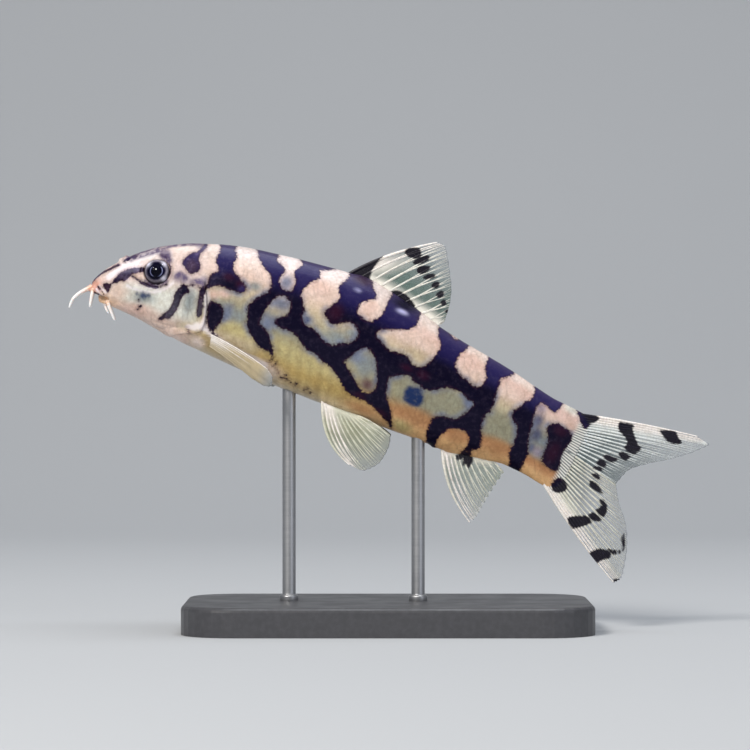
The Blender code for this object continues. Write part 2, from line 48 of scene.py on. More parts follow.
# The fish is laid out in its own coordinates, in mm: how far back from the snout along the middle line,
# how high above that line, and how far out to the left.
body = {
    "snout": (-51.1, 0.0, 58.9),
    "pitch": ((0, -4), (7, 3), (14, 10), (23, 16), (32, 17.7), (41, 20), (50, 23.7), (60, 25.5), (78, 26.5),
              (112, 26)),
    "sway": ((0, 3), (20, 1), (45, -2), (65, 0), (88, 5), (112, 4)),
    # back, height of the back, depth of the belly, half width, squareness above and below
    "sections": (
        (0, 0, 0, 0, 2, 2), (0.4, 0.95, 0.85, 1.05, 2, 2), (1.2, 1.8, 1.75, 1.7, 2, 2),
        (2.6, 2.9, 2.95, 2.3, 2, 2.1), (5, 4.4, 4.05, 3, 2, 2.2), (9, 6.5, 5.6, 4, 2, 2.3),
        (13, 8, 7.1, 4.8, 2, 2.35), (18, 9.3, 8.35, 5.5, 2, 2.3), (24, 10.4, 9.3, 6, 2, 2.2),
        (31, 11, 10.25, 6.3, 1.95, 2.15), (38, 11.5, 10.9, 6.3, 1.9, 2.1), (44, 11.8, 11, 6.1, 1.9, 2.1),
        (50, 10.9, 10.8, 5.7, 1.9, 2.1), (57, 9.6, 10.4, 5.05, 1.9, 2.05), (64, 8.75, 9.8, 4.3, 1.95, 2),
        (68.5, 8.4, 9.3, 3.8, 2, 2), (73, 8, 8.1, 3.3, 2, 2), (78, 7.35, 7.1, 2.7, 2, 2),
        (82.5, 6.95, 6.95, 2.05, 2, 2), (86, 6.95, 7.25, 1.2, 2, 2), (88.2, 6.9, 7.3, 0.46, 2, 2),
        (89.6, 6.5, 6.9, 0.08, 2, 2),
    ),
    "lineStep": 0.1,
    "lineLength": 112.0,
}

gill = {
    # angle round the body and distance back of the cover's free edge
    "edge": ((-90, 14.5), (-65, 15.6), (-48, 17.8), (-37, 20.1), (-24, 20.9), (-8, 20.6), (12, 19.5), (45, 19),
             (90, 19)),
    # the skin's way over the edge, under it and out again: distance back from the edge, height over the body
    "fold": ((-1.9, 0.06), (-1.2, 0.17), (-0.6, 0.3), (-0.2, 0.37), (0.0, 0.35), (0.09, 0.25), (0.04, 0.12),
             (-0.2, -0.04), (-0.42, -0.22), (-0.38, -0.36), (-0.12, -0.4), (0.2, -0.3), (0.6, -0.17),
             (1.1, -0.07), (1.7, 0)),
    # angles between which the cover comes free of the body, above and below
    "free": ((28, 4), (-96, -70)),
}


def smoothCurve(keys):
    # a curve through (place, value, ...) rows that never overshoots them
    table = np.array(keys, float)
    place, values = table[:, 0], table[:, 1:]
    step = np.diff(place)[:, None]
    rise = np.diff(values, axis=0) / step
    slope = np.zeros_like(values)
    slope[0], slope[-1] = rise[0], rise[-1]
    before, after = 2 * step[1:] + step[:-1], step[1:] + 2 * step[:-1]
    with np.errstate(divide="ignore", invalid="ignore"):
        mean = (before + after) / (before / rise[:-1] + after / rise[1:])
    slope[1:-1] = np.where(rise[:-1] * rise[1:] <= 0, 0.0, mean)

    def at(where):
        where = np.atleast_1d(np.asarray(where, float))
        i = np.clip(np.searchsorted(place, where) - 1, 0, len(place) - 2)
        wide = place[i + 1] - place[i]
        t = np.clip((where - place[i]) / wide, 0, 1)[:, None]
        wide = wide[:, None]
        return ((1 + 2 * t) * (1 - t) ** 2 * values[i] + t * (1 - t) ** 2 * wide * slope[i]
                + t * t * (3 - 2 * t) * values[i + 1] + t * t * (t - 1) * wide * slope[i + 1])

    return at


def curveThrough(points):
    # the same through a run of points, with place 0 at the first, 1 at the second and so on
    return smoothCurve([(i, *p) for i, p in enumerate(points)])


def smoothStep(low, high, x):
    t = np.clip((x - low) / (high - low), 0, 1)
    return t * t * (3 - 2 * t)


lineBacks = np.arange(0, body["lineLength"] + 0.05, body["lineStep"])
down = np.radians(smoothCurve(body["pitch"])(lineBacks)[:, 0])
aside = np.radians(smoothCurve(body["sway"])(lineBacks)[:, 0])
tailward = np.stack([np.cos(down) * np.cos(aside), np.sin(aside), -np.sin(down)], 1)
linePoints = np.array(body["snout"]) + np.vstack([np.zeros(3), np.cumsum(tailward * body["lineStep"], 0)[:-1]])
leftward = np.cross(tailward, (0, 0, 1.0))
leftward /= np.linalg.norm(leftward, axis=1)[:, None]
upward = np.cross(leftward, tailward)
sectionAt = smoothCurve(body["sections"])
gillEdge = smoothCurve(gill["edge"])


def toWorld(place):
    # body coordinates in mm, one row per point, to the part's frame in metres
    place = np.atleast_2d(place)
    at = np.clip(place[:, 0] / body["lineStep"], 0, len(linePoints) - 1.001)
    i = at.astype(int)
    f = (at - i)[:, None]
    point = linePoints[i] * (1 - f) + linePoints[i + 1] * f
    point = point + tailward[i] * np.minimum(place[:, 0], 0)[:, None]
    return (point + upward[i] * place[:, 1:2] + leftward[i] * place[:, 2:3]) * mm


def toBody(world):
    # the way back: from the part's frame in metres to body coordinates in mm
    world = np.atleast_2d(world) / mm
    some = linePoints[::4]
    found = []
    for part in np.array_split(world, max(1, len(world) // 8000)):
        away = (some ** 2).sum(1)[None] - 2 * part @ some.T
        i = away.argmin(1) * 4
        off = part - linePoints[i]
        found.append(np.stack([lineBacks[i] + (off * tailward[i]).sum(1), (off * upward[i]).sum(1),
                               (off * leftward[i]).sum(1)], 1))
    return np.vstack(found)


def surfaceOut(back, height):
    # how far out the body's surface is at this height on its side
    high, deep, wide, squareUp, squareDown = sectionAt(back).T
    tall, square = np.where(height > 0, high, deep), np.where(height > 0, squareUp, squareDown)
    sine = np.clip(np.abs(height) / np.maximum(tall, 0.01), 0, 1) ** (square / 2)
    return wide * np.sqrt(1 - sine ** 2) ** (2 / square)


def onSide(points):
    # (back, height) pairs put on the left side of the body
    points = np.array(points, float)
    return np.column_stack([points, surfaceOut(points[:, 0], points[:, 1])])


def colour(red, green, blue):
    # what a screen shows, 0 to 255, as the renderer's linear values
    shown = np.array((red, green, blue), float) / 255
    return np.where(shown <= 0.04045, shown / 12.92, ((shown + 0.055) / 1.055) ** 2.4)


# Markings of the left side, each outline as back and height in mm

darkMarks = {
    "firstBand": ((20, 10.4), (20.3, 8.7), (20.1, 6.9), (20.9, 5.2), (20.2, 4.6), (19.7, 3.6), (19.8, 2.8),
                  (19.5, 2), (19.5, 1.3), (21.1, 2.4), (22.3, 2.6), (23.4, 2.5), (25.5, 2.5), (26.3, 3.1),
                  (26.2, 3.8), (25.4, 4.6), (23.9, 5.5), (23.3, 6.2), (23.1, 7.1), (23.3, 8), (22.7, 9.6),
                  (22.6, 11.2)),
    "shoulder": ((20.8, -0.4), (22.1, -0.2), (22.8, -0.4), (23.6, -1), (23.9, -1.9), (23.9, -2.7), (23, -5),
                 (23.4, -5.4), (24.2, -5.8), (23.7, -6), (22.8, -5.5), (21.3, -3.9)),
    "net": ((25.5, 12.1), (26.2, 10.2), (27.7, 8.2), (29.4, 7.1), (29.9, 6.2), (30.2, 5.2), (30.1, 4.2),
            (28.7, 2.7), (27.6, 1.1), (27.5, 0.4), (27.9, -0.7), (28.3, -2.5), (29.8, -4.1), (31.6, -5.4),
            (33.2, -5.6), (33.8, -6.1), (34.3, -5.9), (34.1, -5.1), (32.1, -2.4), (30.6, -1.6), (30.3, -0.9),
            (31, 2.4), (32, 3.9), (32.7, 4.2), (33.4, 4.2), (34, 3.7), (34.4, 2.9), (34.6, 2), (34.3, 1.3),
            (32.9, 0.2), (32.8, -0.5), (33.3, -0.9), (34, -1.1), (35.8, -1.1), (36.6, -1.3), (37.4, -1.7),
            (38.9, -2.8), (39.9, -3.2), (41.6, -3.4), (42.6, -4), (45.5, -5), (48.2, -7), (50, -7.6),
            (52.9, -7.6), (54.8, -8.2), (57.5, -9.3), (59.9, -10.8), (64.8, -11.2), (67.9, -11.3), (71.4, -8.3),
            (73.6, -8), (76.9, -8.4), (80.9, -7.9), (81.8, -6.4), (81.6, -5.2), (81.7, -3.8), (80.5, -1.1),
            (79.4, 3.9), (79.6, 4.7), (80.1, 5.3), (82.3, 4.7), (82.9, 5.2), (83.3, 6.6), (83.4, 7.9),
            (77.2, 10.2), (59.6, 11.5), (45.8, 14.4), (41.2, 13.5), (32.3, 14.3)),
    "peduncleBlotch": ((82.5, 2.1), (82.9, 2.7), (83.6, 3.2), (84.6, 3.3), (86.6, 3), (87.2, 2.4), (87.5, 1.6),
                       (87.2, 0.5), (87.1, -0.5), (87.2, -1.7), (87.6, -2.6), (87.7, -3.6), (87.2, -4.2),
                       (86.3, -4.3), (84.5, -3.8), (84.1, -3.4), (83.7, -0.1), (82.7, 1.4)),
    "tailRootTop": ((86, 6.9), (87.1, 7.5), (90.2, 7.8), (90.1, 6.9), (89.1, 5), (88.4, 4.7)),
    "tailRootLow": ((87.7, -6.4), (88.1, -5.3), (88.6, -4.8), (89.4, -4.8), (90.2, -5.4), (90.5, -6.2),
                    (89.9, -7), (89, -7.4), (88.1, -7.3)),
    "eyeStripe": ((2.2, 0.2), (2.9, 0.5), (3.5, 0.4), (5.1, 2.2), (6.7, 3), (7.8, 3.2), (9.3, 3.3), (9.3, 2.7),
                  (8, 2.5), (7.1, 2.1), (6.1, 1), (5.3, 1), (4.6, 0.6), (3.7, 0.4), (3.4, -0.2), (3.15, -0.9),
                  (2.85, -0.95)),
    "napeDrop": ((17.8, 9.5), (18.2, 9.3), (18.1, 8.4), (17.5, 7.2), (17.5, 6.4), (18, 4.8), (17.8, 4.2),
                 (17.2, 3.7), (16.5, 3.5), (15.9, 3.9), (15, 4.9), (15, 5.6), (15.8, 6.8), (17.1, 7.8)),
    "cheekBar": ((15.5, 0.9), (16, 1.4), (17, 0.5), (16.4, 0), (15.9, -0.8), (15.6, -2.5), (14.9, -4.1),
                 (14.4, -4.6), (13.7, -4.6), (13.2, -5), (12.7, -5), (14.4, -3.1), (14.8, -1.3), (14.8, -0.4)),
    "gillBar": ((18.9, 1), (19.1, 1.7), (19.5, 1.8), (19.8, 1.2), (19.6, 0.3), (20, -1.7), (20, -3.2),
                (19.6, -3.5), (19.3, -2.8)),
    "analRoot": ((71.2, -8.9), (71.3, -8.2), (72.1, -7.8), (72.8, -7.7), (73.2, -8.7), (73.9, -9.3),
                 (73.1, -9.3), (72.2, -9), (71.6, -9.3)),
    "dorsalRootRear": ((49.3, 10.4), (49.3, 11.3), (49.7, 12), (50.5, 12.2), (53.1, 10.7), (55, 8.9),
                       (50.8, 9.9), (49.7, 10)),
}
paleMarks = {
    "backCream": ((29, 13.2), (29.8, 10.8), (29.8, 10), (30.2, 9.6), (30.9, 9.3), (31.8, 8.4), (31.3, 7.2),
                  (31.4, 6.5), (31.9, 5.8), (32.5, 5.3), (33.5, 5.3), (33.9, 5.6), (34, 6.5), (33.9, 7.4),
                  (33.2, 8.6), (33.3, 9.1), (34, 10.2), (33.8, 10.8), (33.1, 11.4), (32.2, 14.3)),
    "hook": ((37.3, 10.5), (39.2, 11.4), (41.3, 13.2), (41.7, 11.9), (41.8, 10.6), (41.1, 9.2), (41.1, 8.4),
             (41.8, 6.9), (40.5, 4.5), (40.3, 3.8), (40.9, 3.2), (42.3, 2.4), (44.2, 3.6), (45.1, 3.8),
             (45.9, 3.6), (46.5, 3.2), (46.8, 2.6), (46.8, 1.6), (46.1, 0.7), (45.3, 0.2), (42.7, -0.9),
             (39.8, 0.5), (37.9, 0.9), (37.2, 1.6), (36.9, 2.2), (37.1, 2.8), (36.4, 4.4), (35.8, 5.1),
             (35.6, 6.2), (36.3, 7.8), (37.4, 8.9), (37.5, 9.6)),
    "finRoot": ((44.8, 13.2), (46.2, 10.8), (47.3, 9.6), (45.7, 8), (45.3, 6.9), (45.4, 6), (46.2, 5.4),
                (47, 5.2), (47.8, 5.3), (48.5, 5.9), (49, 6.8), (49.2, 7.8), (49.1, 9.8), (49.2, 10.7),
                (49, 11.4), (48, 13.1), (46.6, 14)),
    "saddle": ((49.7, 4.1), (50.4, 4.9), (53.7, 6.3), (54.6, 7.1), (55.1, 7.9), (54.8, 10.3), (56.1, 10.9),
               (58.3, 10.1), (58.6, 8.7), (59.2, 7.6), (59.9, 6.9), (60.2, 5.9), (60.1, 4.7), (59.5, 2.9),
               (58.9, 1.8), (57.9, 1.5), (57.1, 1.7), (55.6, 2.5), (53, 2.1), (52, 2.4), (50.3, 3.2),
               (49.8, 3.5)),
    "backDash": ((60.2, 9.7), (61.6, 8.7), (62.2, 8.7), (62.5, 9.2), (62.1, 10)),
    "ghost": ((47.1, -1.7), (47.6, -0.7), (48.7, 0.7), (49.5, 0.8), (50.2, 0.5), (51.1, -0.2), (52.4, -2.4),
              (53.2, -4.5), (53, -5.5), (52.5, -6), (51.8, -6.2), (50.8, -5.9), (46.8, -3), (46.6, -2.5)),
    "backPink": ((63.9, 9.8), (64.5, 8.9), (64.4, 7.9), (63.9, 7), (63.7, 6.3), (63.7, 5.3), (64, 4.3),
                 (64.7, 3.7), (65.6, 3.3), (66.7, 3.2), (67.4, 2.8), (68.3, 2.7), (69.1, 3.1), (69.4, 4),
                 (69.3, 5), (68.4, 6.8), (68.3, 8.6), (67.8, 10.4)),
    "ring": ((54.7, -2.5), (55.2, -1.7), (57, -0.6), (57.9, -0.6), (58.4, -0.9), (60.1, -1.3), (60.6, -1.6),
             (62.3, -1), (64.5, 0.6), (66.7, 0.7), (68.6, 0.1), (69.2, 0.1), (69.3, -0.8), (68, -3.5),
             (65.7, -4.2), (64.9, -4.7), (64.3, -5.3), (64.2, -6.3), (64.4, -8.3), (65.4, -10.9), (61.5, -12.4),
             (59.5, -11.1), (57.4, -7.4), (55.8, -5.5), (55.1, -4.2)),
    "bellyOrange": ((66.9, -9.4), (66.7, -7.9), (67.3, -6.3), (67.9, -5.6), (69.6, -4.9), (70.5, -5.1),
                    (71.1, -5.5), (71.5, -6.3), (71.6, -7.3), (71.2, -8.9), (71.9, -10), (69.8, -11.1),
                    (68, -10.6)),
    "tailPink": ((72.8, 9.2), (73.5, 7.6), (72.7, 6.7), (71.9, 6), (71.8, 5.4), (72.6, 0.6), (72.1, -0.9),
                 (72.1, -1.9), (72.3, -2.8), (73.7, -5.8), (73.6, -6.7), (72.7, -7.6), (73.8, -9.1),
                 (77.1, -8.7), (79.8, -7.7), (78.7, -5.1), (78.5, -4.1), (78.5, -2.9), (78, -0.9), (77.4, 0),
                 (76.6, 0.4), (76.1, 0.9), (76, 1.8), (76.8, 3.2), (77.1, 4.1), (77.8, 4.8), (78, 5.6),
                 (77.9, 6.6), (77.5, 7.3), (77.1, 9)),
}
# the large blue spot inside the ring
blueSpot = ((58, -3.9), (57.8, -3.1), (58.1, -2.2), (58.8, -1.7), (59.9, -1.5), (60.8, -2), (61.5, -3),
            (61.6, -3.9), (61, -4.8), (59.1, -5), (58.4, -4.7))
finMarks = {
    "dorsal": (
        ((48.7, 10.5), (48.9, 11.4), (49.7, 12), (51.2, 12), (52.6, 11.4), (53.9, 10.4), (54.6, 9.2),
         (52.9, 8.5), (51.2, 9.4), (49.6, 10)),
        ((41.2, 11.6), (42.1, 13.5), (43.6, 15.4), (45.3, 16.9), (45.7, 16.4), (45, 14.6), (44.9, 12.4),
         (44.8, 11.4)),
        ((48.2, 19.1), (48.7, 19.6), (49.5, 20.1), (50.3, 20.2), (50.8, 19.7), (51.1, 18.9), (50.8, 18.2),
         (49.8, 18.1), (48.8, 18.2)),
        ((50.2, 17.6), (50.7, 18.5), (51.4, 19.3), (52.1, 19.7), (52.5, 19.2), (52.1, 18.5), (51.4, 17.7),
         (50.7, 17.3)),
        ((51.3, 16.6), (51.4, 17.3), (52.2, 17.8), (53, 18.1), (53.2, 17.7), (52.9, 17), (52.2, 16.2),
         (51.7, 16.2)),
        ((52.7, 15.9), (53.2, 16.7), (54.1, 17.2), (54.5, 16.9), (54, 16.2), (53.1, 15.7)),
        ((54.5, 15.1), (54.6, 15.9), (55.3, 16.3), (55.7, 15.9), (55.5, 15.2), (54.9, 14.9)),
        ((55.8, 14), (56, 14.8), (56.6, 15.2), (57, 14.6), (56.6, 13.8)),
        ((57, 13.1), (57.2, 13.8), (57.7, 13.9), (58, 13.4), (57.7, 12.8)),
        ((58.2, 12.1), (58.5, 12.6), (59, 12.7), (58.9, 12.1)),
    ),
    "tail": (
        ((85.9, 6.7), (87.9, 7.5), (90.1, 7.6), (90, 6.7), (89.2, 5.9), (89.1, 4.9), (88.2, 4.8), (87.1, 5.9)),
        ((93.4, 8.3), (94.9, 8.8), (96.3, 9.1), (96.3, 8.2), (98.3, 6.3), (99.1, 6.1), (98.8, 5.2), (98.4, 4.5),
         (97.3, 4.5), (96.3, 4.7), (96.5, 5.6), (96.1, 6.2), (95.4, 6.6), (94.3, 7), (93.8, 7.5)),
        ((96, 3.2), (96.2, 4), (97.2, 4.1), (98, 3.9), (97.6, 3), (96.7, 3)),
        ((93.8, 1.8), (94.2, 2.5), (95.6, 2.5), (96.3, 2.6), (95.6, 1.6), (94.5, 1.5)),
        ((93.2, 0.3), (93.5, 1.2), (94.7, 1.1), (94.9, 0.4), (94.1, 0.1)),
        ((92.9, -0.8), (93.6, -0.1), (94.7, -0.1), (94.3, -0.7)),
        ((93.3, -1.9), (94, -1.3), (94.9, -1.7), (94.6, -2.2)),
        ((93.6, -3.3), (93.8, -2.8), (94.7, -2.8), (95.8, -3.4), (96.4, -4), (94.3, -3.9)),
        ((100.6, 10.2), (102, 10.9), (103.3, 11.3), (103.9, 10.6), (104.9, 10.1), (104.6, 9.5), (103.6, 9.1),
         (102.4, 9.2)),
        darkMarks["tailRootLow"],
        ((96.5, -5.3), (96.9, -4.8), (97.6, -5.2), (98.3, -5.8), (98.4, -7.5), (96.7, -7.2), (97.1, -6.4),
         (97.2, -5.8)),
        ((95.9, -8.3), (96.5, -7.6), (98.3, -8), (98.1, -8.5), (97.3, -8.8), (96.3, -8.7)),
        ((92.8, -10.6), (93.4, -9.8), (94.7, -9.2), (95.5, -8.7), (97.1, -9.1), (94.5, -11.7), (93.8, -11.5)),
        ((98.8, -14.6), (99.2, -13.7), (99.9, -12.9), (100.9, -12.5), (101.6, -12.4), (102.4, -12.8),
         (102.3, -13.5), (101.5, -14.2), (101, -14.8), (100.8, -15.4)),
        ((101.4, -12.1), (102.5, -11.9), (103.6, -11.3), (103.5, -10.5), (102.8, -9.3), (102.8, -8.5),
         (103.5, -9.4), (104, -10.7), (103.9, -11.6), (102.8, -12.6), (102.1, -12.6)),
        ((104.5, -16.7), (104.8, -16.2), (105.6, -16), (105.9, -16.5), (105.3, -16.8)),
    ),
    "anal": (
        ((71.0, -9.0), (71.3, -8), (72.3, -7.6), (73.3, -8), (73.9, -9.2), (73.6, -10.6), (73.1, -9.7),
         (72.6, -10.4), (72.1, -9.3), (71.5, -10)),
        ((72.3, -9.3), (73, -9.5), (73.3, -10.1), (72.9, -10)),
        ((70.8, -9.3), (71.2, -9.3), (71.5, -9.9), (71.1, -9.9)),
    ),
}

# Colours of the skin, 0 to 255, pale ones first
skinTones = {
    "white": (243, 232, 231), "cream": (243, 226, 218), "blush": (228, 198, 186), "peach": (226, 166, 146),
    "apricot": (255, 216, 176), "shell": (226, 203, 190), "bone": (228, 210, 202), "honey": (222, 180, 130),
    "sand": (200, 186, 158), "straw": (196, 184, 132), "brass": (192, 168, 106), "amber": (184, 139, 96),
    "pearl": (224, 226, 218), "silver": (138, 148, 150), "sage": (152, 152, 130), "iron": (118, 116, 116),
    "slate": (112, 124, 152), "mauve": (152, 142, 158), "haze": (110, 100, 142), "storm": (76, 84, 118),
    "bloom": (68, 62, 120), "indigo": (46, 40, 100), "plum": (100, 72, 80), "wine": (52, 34, 42),
    # the last tone, brighter than white, is for painted highlights on the wet back
    "maroon": (76, 26, 48), "black": (13, 7, 38), "paintedGlint": (400, 410, 430),
}
# pale skin and dark skin from belly to back: height as a share of the body's there, tone
paleShades = {
    "head": ((-1, "shell"), (-0.75, "shell"), (-0.45, "pearl"), (-0.1, "pearl"), (0.3, "bone"), (0.7, "bone"),
             (1, "cream")),
    "front": ((-1, "sand"), (-0.7, "brass"), (-0.45, "straw"), (-0.1, "sage"), (0.25, "sand"), (0.5, "shell"),
              (0.75, "cream"), (1, "white")),
    "rear": ((-1, "honey"), (-0.85, "honey"), (-0.6, "amber"), (-0.4, "sage"), (-0.05, "sage"), (0.25, "sand"),
             (0.5, "shell"), (0.75, "blush"), (0.9, "cream")),
}
# the dark skin turns violet-blue towards the back: painted sheen
darkShadesWithSheen = ((-1, "black"), (0.35, "black"), (0.6, "indigo"), (0.8, "bloom"), (1, "haze"))
# soft patches over them: tone, then back, height, half length and half height of each
palePatches = {
    "snoutTip": ("peach", (0.7, 0.0, 1.3, 1.3)),
    "lowerLip": ("apricot", (2.4, -2.5, 2.2, 1.5)),
    "forehead": ("white", (6.6, 3.9, 2.6, 0.9), (9.6, 5.4, 2.0, 0.8)),
    "snoutSide": ("shell", (4.6, -1.0, 1.8, 1.5), (8.5, 2.0, 1.0, 0.7)),
    "cheekGlow": ("blush", (8.4, -4.0, 2.6, 1.1)),
    "gillPlate": ("silver", (17.5, -1.0, 1.1, 2.2), (9.4, -1.8, 1.8, 0.8)),
    "templeShade": ("mauve", (15.3, 2.5, 1.5, 0.9), (19.1, 2.9, 0.8, 0.8), (12.1, 6.1, 0.9, 0.8),
                    (17.1, 8.7, 0.9, 0.6)),
    "gillRoot": ("blush", (21.2, 1.0, 0.9, 0.7), (22.9, 1.6, 1.0, 0.6)),
    "coolEdge": ("slate", (24.5, -1.3, 1.0, 1.5), (31.6, -1.0, 1.1, 1.5), (32.8, 2.9, 1.8, 1.1),
                 (37.8, 1.7, 1.2, 0.9), (48.9, -1.4, 1.5, 1.0), (68.6, -0.4, 0.9, 0.7), (32.6, 6.6, 1.1, 1.2)),
    "silverFlank": ("silver", (27.7, 4.3, 1.1, 0.7), (45.9, 2.2, 1.2, 0.8), (26.4, -1.4, 1.3, 1.0),
                    (43.8, 0.6, 1.8, 1.1), (50.2, -2.4, 1.5, 1.9), (82.6, -0.8, 0.9, 0.8),
                    (88.4, -1.2, 0.9, 0.9)),
    "warmBack": ("blush", (38.4, 7.8, 1.8, 1.2), (47.0, 7.5, 1.2, 1.2), (66.0, 6.2, 1.4, 1.4),
                 (84.3, 5.0, 1.3, 1.0), (86.6, 4.2, 1.0, 0.9)),
    "saddleGlow": ("straw", (26.2, -4.4, 1.8, 1.4), (60.0, -8.9, 1.8, 1.0)),
    "ghostHeart": ("plum", (51.7, -4.8, 1.3, 1.0)),
    "tailSheen": ("storm", (80.6, 2.2, 1.0, 1.3), (81.4, 0.0, 1.0, 1.2), (81.7, -2.4, 0.5, 0.7)),
    "tailMauve": ("mauve", (80.1, 4.4, 0.9, 0.8), (82.9, -2.6, 0.9, 0.9)),
    "bellyAmber": ("amber", (61.6, -6.4, 2.6, 1.2), (69.4, -6.4, 1.4, 1.0), (76.4, -5.2, 2.2, 1.4),
                   (52.5, -9.0, 3.0, 0.8)),
    "throatCream": ("cream", (21.0, -4.4, 0.9, 1.0), (20.8, -7.4, 1.2, 1.0), (33.0, -8.6, 3.0, 1.2)),
    "flankSand": ("sand", (17.8, -5.4, 1.6, 0.8), (57.2, 3.4, 2.2, 0.9), (28.6, -6.2, 2.6, 1.4),
                  (24.6, -5.6, 2.4, 1.0)),
    "tailRoot": ("pearl", (88.6, 4.6, 1.2, 1.6), (85.2, 6.7, 1.4, 0.8)),
}
darkPatches = {
    "headMauve": ("plum", (16.6, 5.0, 1.0, 1.2), (3.6, 2.9, 2.4, 1.0), (2.9, -0.3, 0.6, 0.7)),
    "snoutBar": ("wine", (5.9, 1.8, 1.1, 0.7), (8.0, 2.7, 1.5, 0.8)),
    "crownHaze": ("haze", (17.2, 7.7, 0.9, 1.6), (8.1, 5.6, 1.2, 0.8)),
    "cheekSlate": ("iron", (14.5, -2.8, 1.3, 2.6), (19.7, -2.2, 0.6, 1.8)),
    "rustEdge": ("maroon", (84.9, 2.4, 1.2, 0.8), (51.2, -7.1, 1.0, 0.5), (55.6, -8.3, 1.2, 0.5),
                 (85.4, -1.6, 1.1, 1.8), (42.0, 4.6, 1.1, 1.4), (56.6, 0.6, 1.0, 0.5), (59.6, 0.6, 1.0, 0.7),
                 (25.2, 4.0, 0.8, 0.7), (22.9, 4.6, 0.9, 0.6)),
    "finFoot": ("black", (51.9, 10.2, 2.0, 0.8)),
    "finFront": ("plum", (44.0, 11.2, 1.4, 0.7)),
    # two painted highlights, standing in for lamp reflections on the wet back
    "paintedGlint": ("paintedGlint", (43.9, 9.4, 0.55, 0.3), (52.0, 8.9, 0.8, 0.4)),
    "tailCap": ("black", (88.6, 6.4, 2.2, 1.8)),
    "duskBlue": ("bloom", (25.8, 3.2, 0.7, 0.6), (29.5, 8.7, 1.3, 1.2), (35.4, 8.9, 1.0, 1.6),
                 (43.4, 8.8, 1.3, 1.4), (52.0, 8.0, 1.8, 1.0)),
}
# dark lines on the left side, those along the eye groove, the strands' gap, under the lip and at the eye's rear
# edge painted shade: radius in mm and way
darkLinesAndShade = {
    # these two: painted shade in the groove under the eye
    "eyeGroove": (0.16, ((7.1, 1.8), (8.1, 1.15), (9.0, 0.72), (10, 0.35), (11.2, 0.25), (12.2, 0.4),
                         (13, 0.9))),
    "eyeGrooveDeep": (0.3, ((8.7, 0.8), (9.6, 0.45), (10.6, 0.25), (11.6, 0.28))),
    "snoutTop": (0.24, ((0.1, 0.9), (1, 1.6), (1.9, 2.25), (3.4, 2.95), (4.8, 3.65))),
    "snoutRidge": (0.26, ((5.8, 4.3), (6.6, 4.85), (7.3, 5.25))),
    "eyeTop": (0.12, ((11.3, 5.75), (12.1, 5.6), (12.7, 5))),
    # painted shadow at the eye's rear edge
    "eyeRear": (0.13, ((12.8, 4.9), (13.3, 3.8), (13.3, 2.6), (12.9, 1.6))),
    "opercleTop": (0.15, ((18.7, 1.6), (17.4, 1.7), (16.5, 1.4))),
    "jawFleck": (0.24, ((8.7, -3.3), (9, -3.2))),
    "jawFleckLow": (0.15, ((8.3, -3.8), (8.5, -3.8))),
    "cheekFleck": (0.14, ((8.5, -2.2), (8.6, -2.4))),
    "throatFleck": (0.22, ((18.1, -5.7), (18.3, -6), (18.7, -6.3))),
    "netCurl": (0.09, ((34.0, -5.9), (34.5, -6.4), (34.4, -7.0), (33.8, -7.3))),
    # painted shade in the gap between the corner strands, and painted shadow under the upper lip
    "strandGap": (0.1, ((1.35, -0.1), (1.85, -0.62), (2.4, -1.2))),
    "mouthCorner": (0.22, ((0.9, -0.75), (1.4, -1.15), (1.9, -1.6))),
}
specks = {
    "radius": 0.17,
    "places": ((36, -8.4), (36.7, -9.1), (37.1, -9.1), (37.5, -8.4), (37.8, -9), (38.3, -9.1), (38.7, -9.4),
               (39.4, -9.5), (39.7, -9.2), (41.4, -9.7), (42, -9.4), (42.7, -9.8), (35, -7.6), (35.1, -6.9),
               (34.2, -6.7)),
}


def closedCurve(points, steps=4):
    # a smooth loop through the points of an outline
    p = np.array(points, float)
    a, b, c, d = np.roll(p, 1, 0), p, np.roll(p, -1, 0), np.roll(p, -2, 0)
    rows = []
    for k in range(steps):
        t = k / steps
        rows.append(0.5 * (2 * b + (c - a) * t + (2 * a - 5 * b + 4 * c - d) * t * t
                           + (3 * b - a - 3 * c + d) * t ** 3))
    return np.stack(rows, 1).reshape(-1, 2)


def lineDistance(where, path, closed=False):
    # distance of each point from a run of straight pieces, and on a loop whether it lies inside
    ends = np.roll(path, -1, 0) if closed else path[1:]
    starts = path if closed else path[:-1]
    nearest = np.full(len(where), 1e9)
    inside = np.zeros(len(where), bool)
    for a, b in zip(starts, ends):
        side = b - a
        t = np.clip(((where - a) @ side) / max(side @ side, 1e-12), 0, 1)[:, None]
        nearest = np.minimum(nearest, ((where - a - side * t) ** 2).sum(1))
        if closed and a[1] != b[1]:
            crosses = (a[1] > where[:, 1]) != (b[1] > where[:, 1])
            inside ^= crosses & (where[:, 0] < a[0] + (where[:, 1] - a[1]) * side[0] / side[1])
    return np.sqrt(nearest), inside


def depthInside(where, outline, reach=1.6):
    # how deep each point lies inside a smooth outline, negative outside it and never below -reach
    loop = closedCurve(outline)
    depth = np.full(len(where), -reach)
    near = np.all((where > loop.min(0) - reach) & (where < loop.max(0) + reach), axis=1)
    far, inside = lineDistance(where[near], loop, closed=True)
    depth[near] = np.maximum(np.where(inside, far, -far), -reach)
    return depth


def shadeAt(share, shades):
    # colours of a run of tones at heights from -1 to 1
    return smoothCurve([(place, *colour(*skinTones[tone])) for place, tone in shades])(share)


def dabPatches(where, base, patches):
    # soft patches of a tone laid over the base colours, one after the other
    for tone, *spots in patches.values():
        for back, height, long, tall in spots:
            far = ((where[:, 0] - back) / long) ** 2 + ((where[:, 1] - height) / tall) ** 2
            share = 0.9 * np.exp(-0.7 * far ** 1.4)[:, None]
            base = base * (1 - share) + colour(*skinTones[tone]) * share
    return base


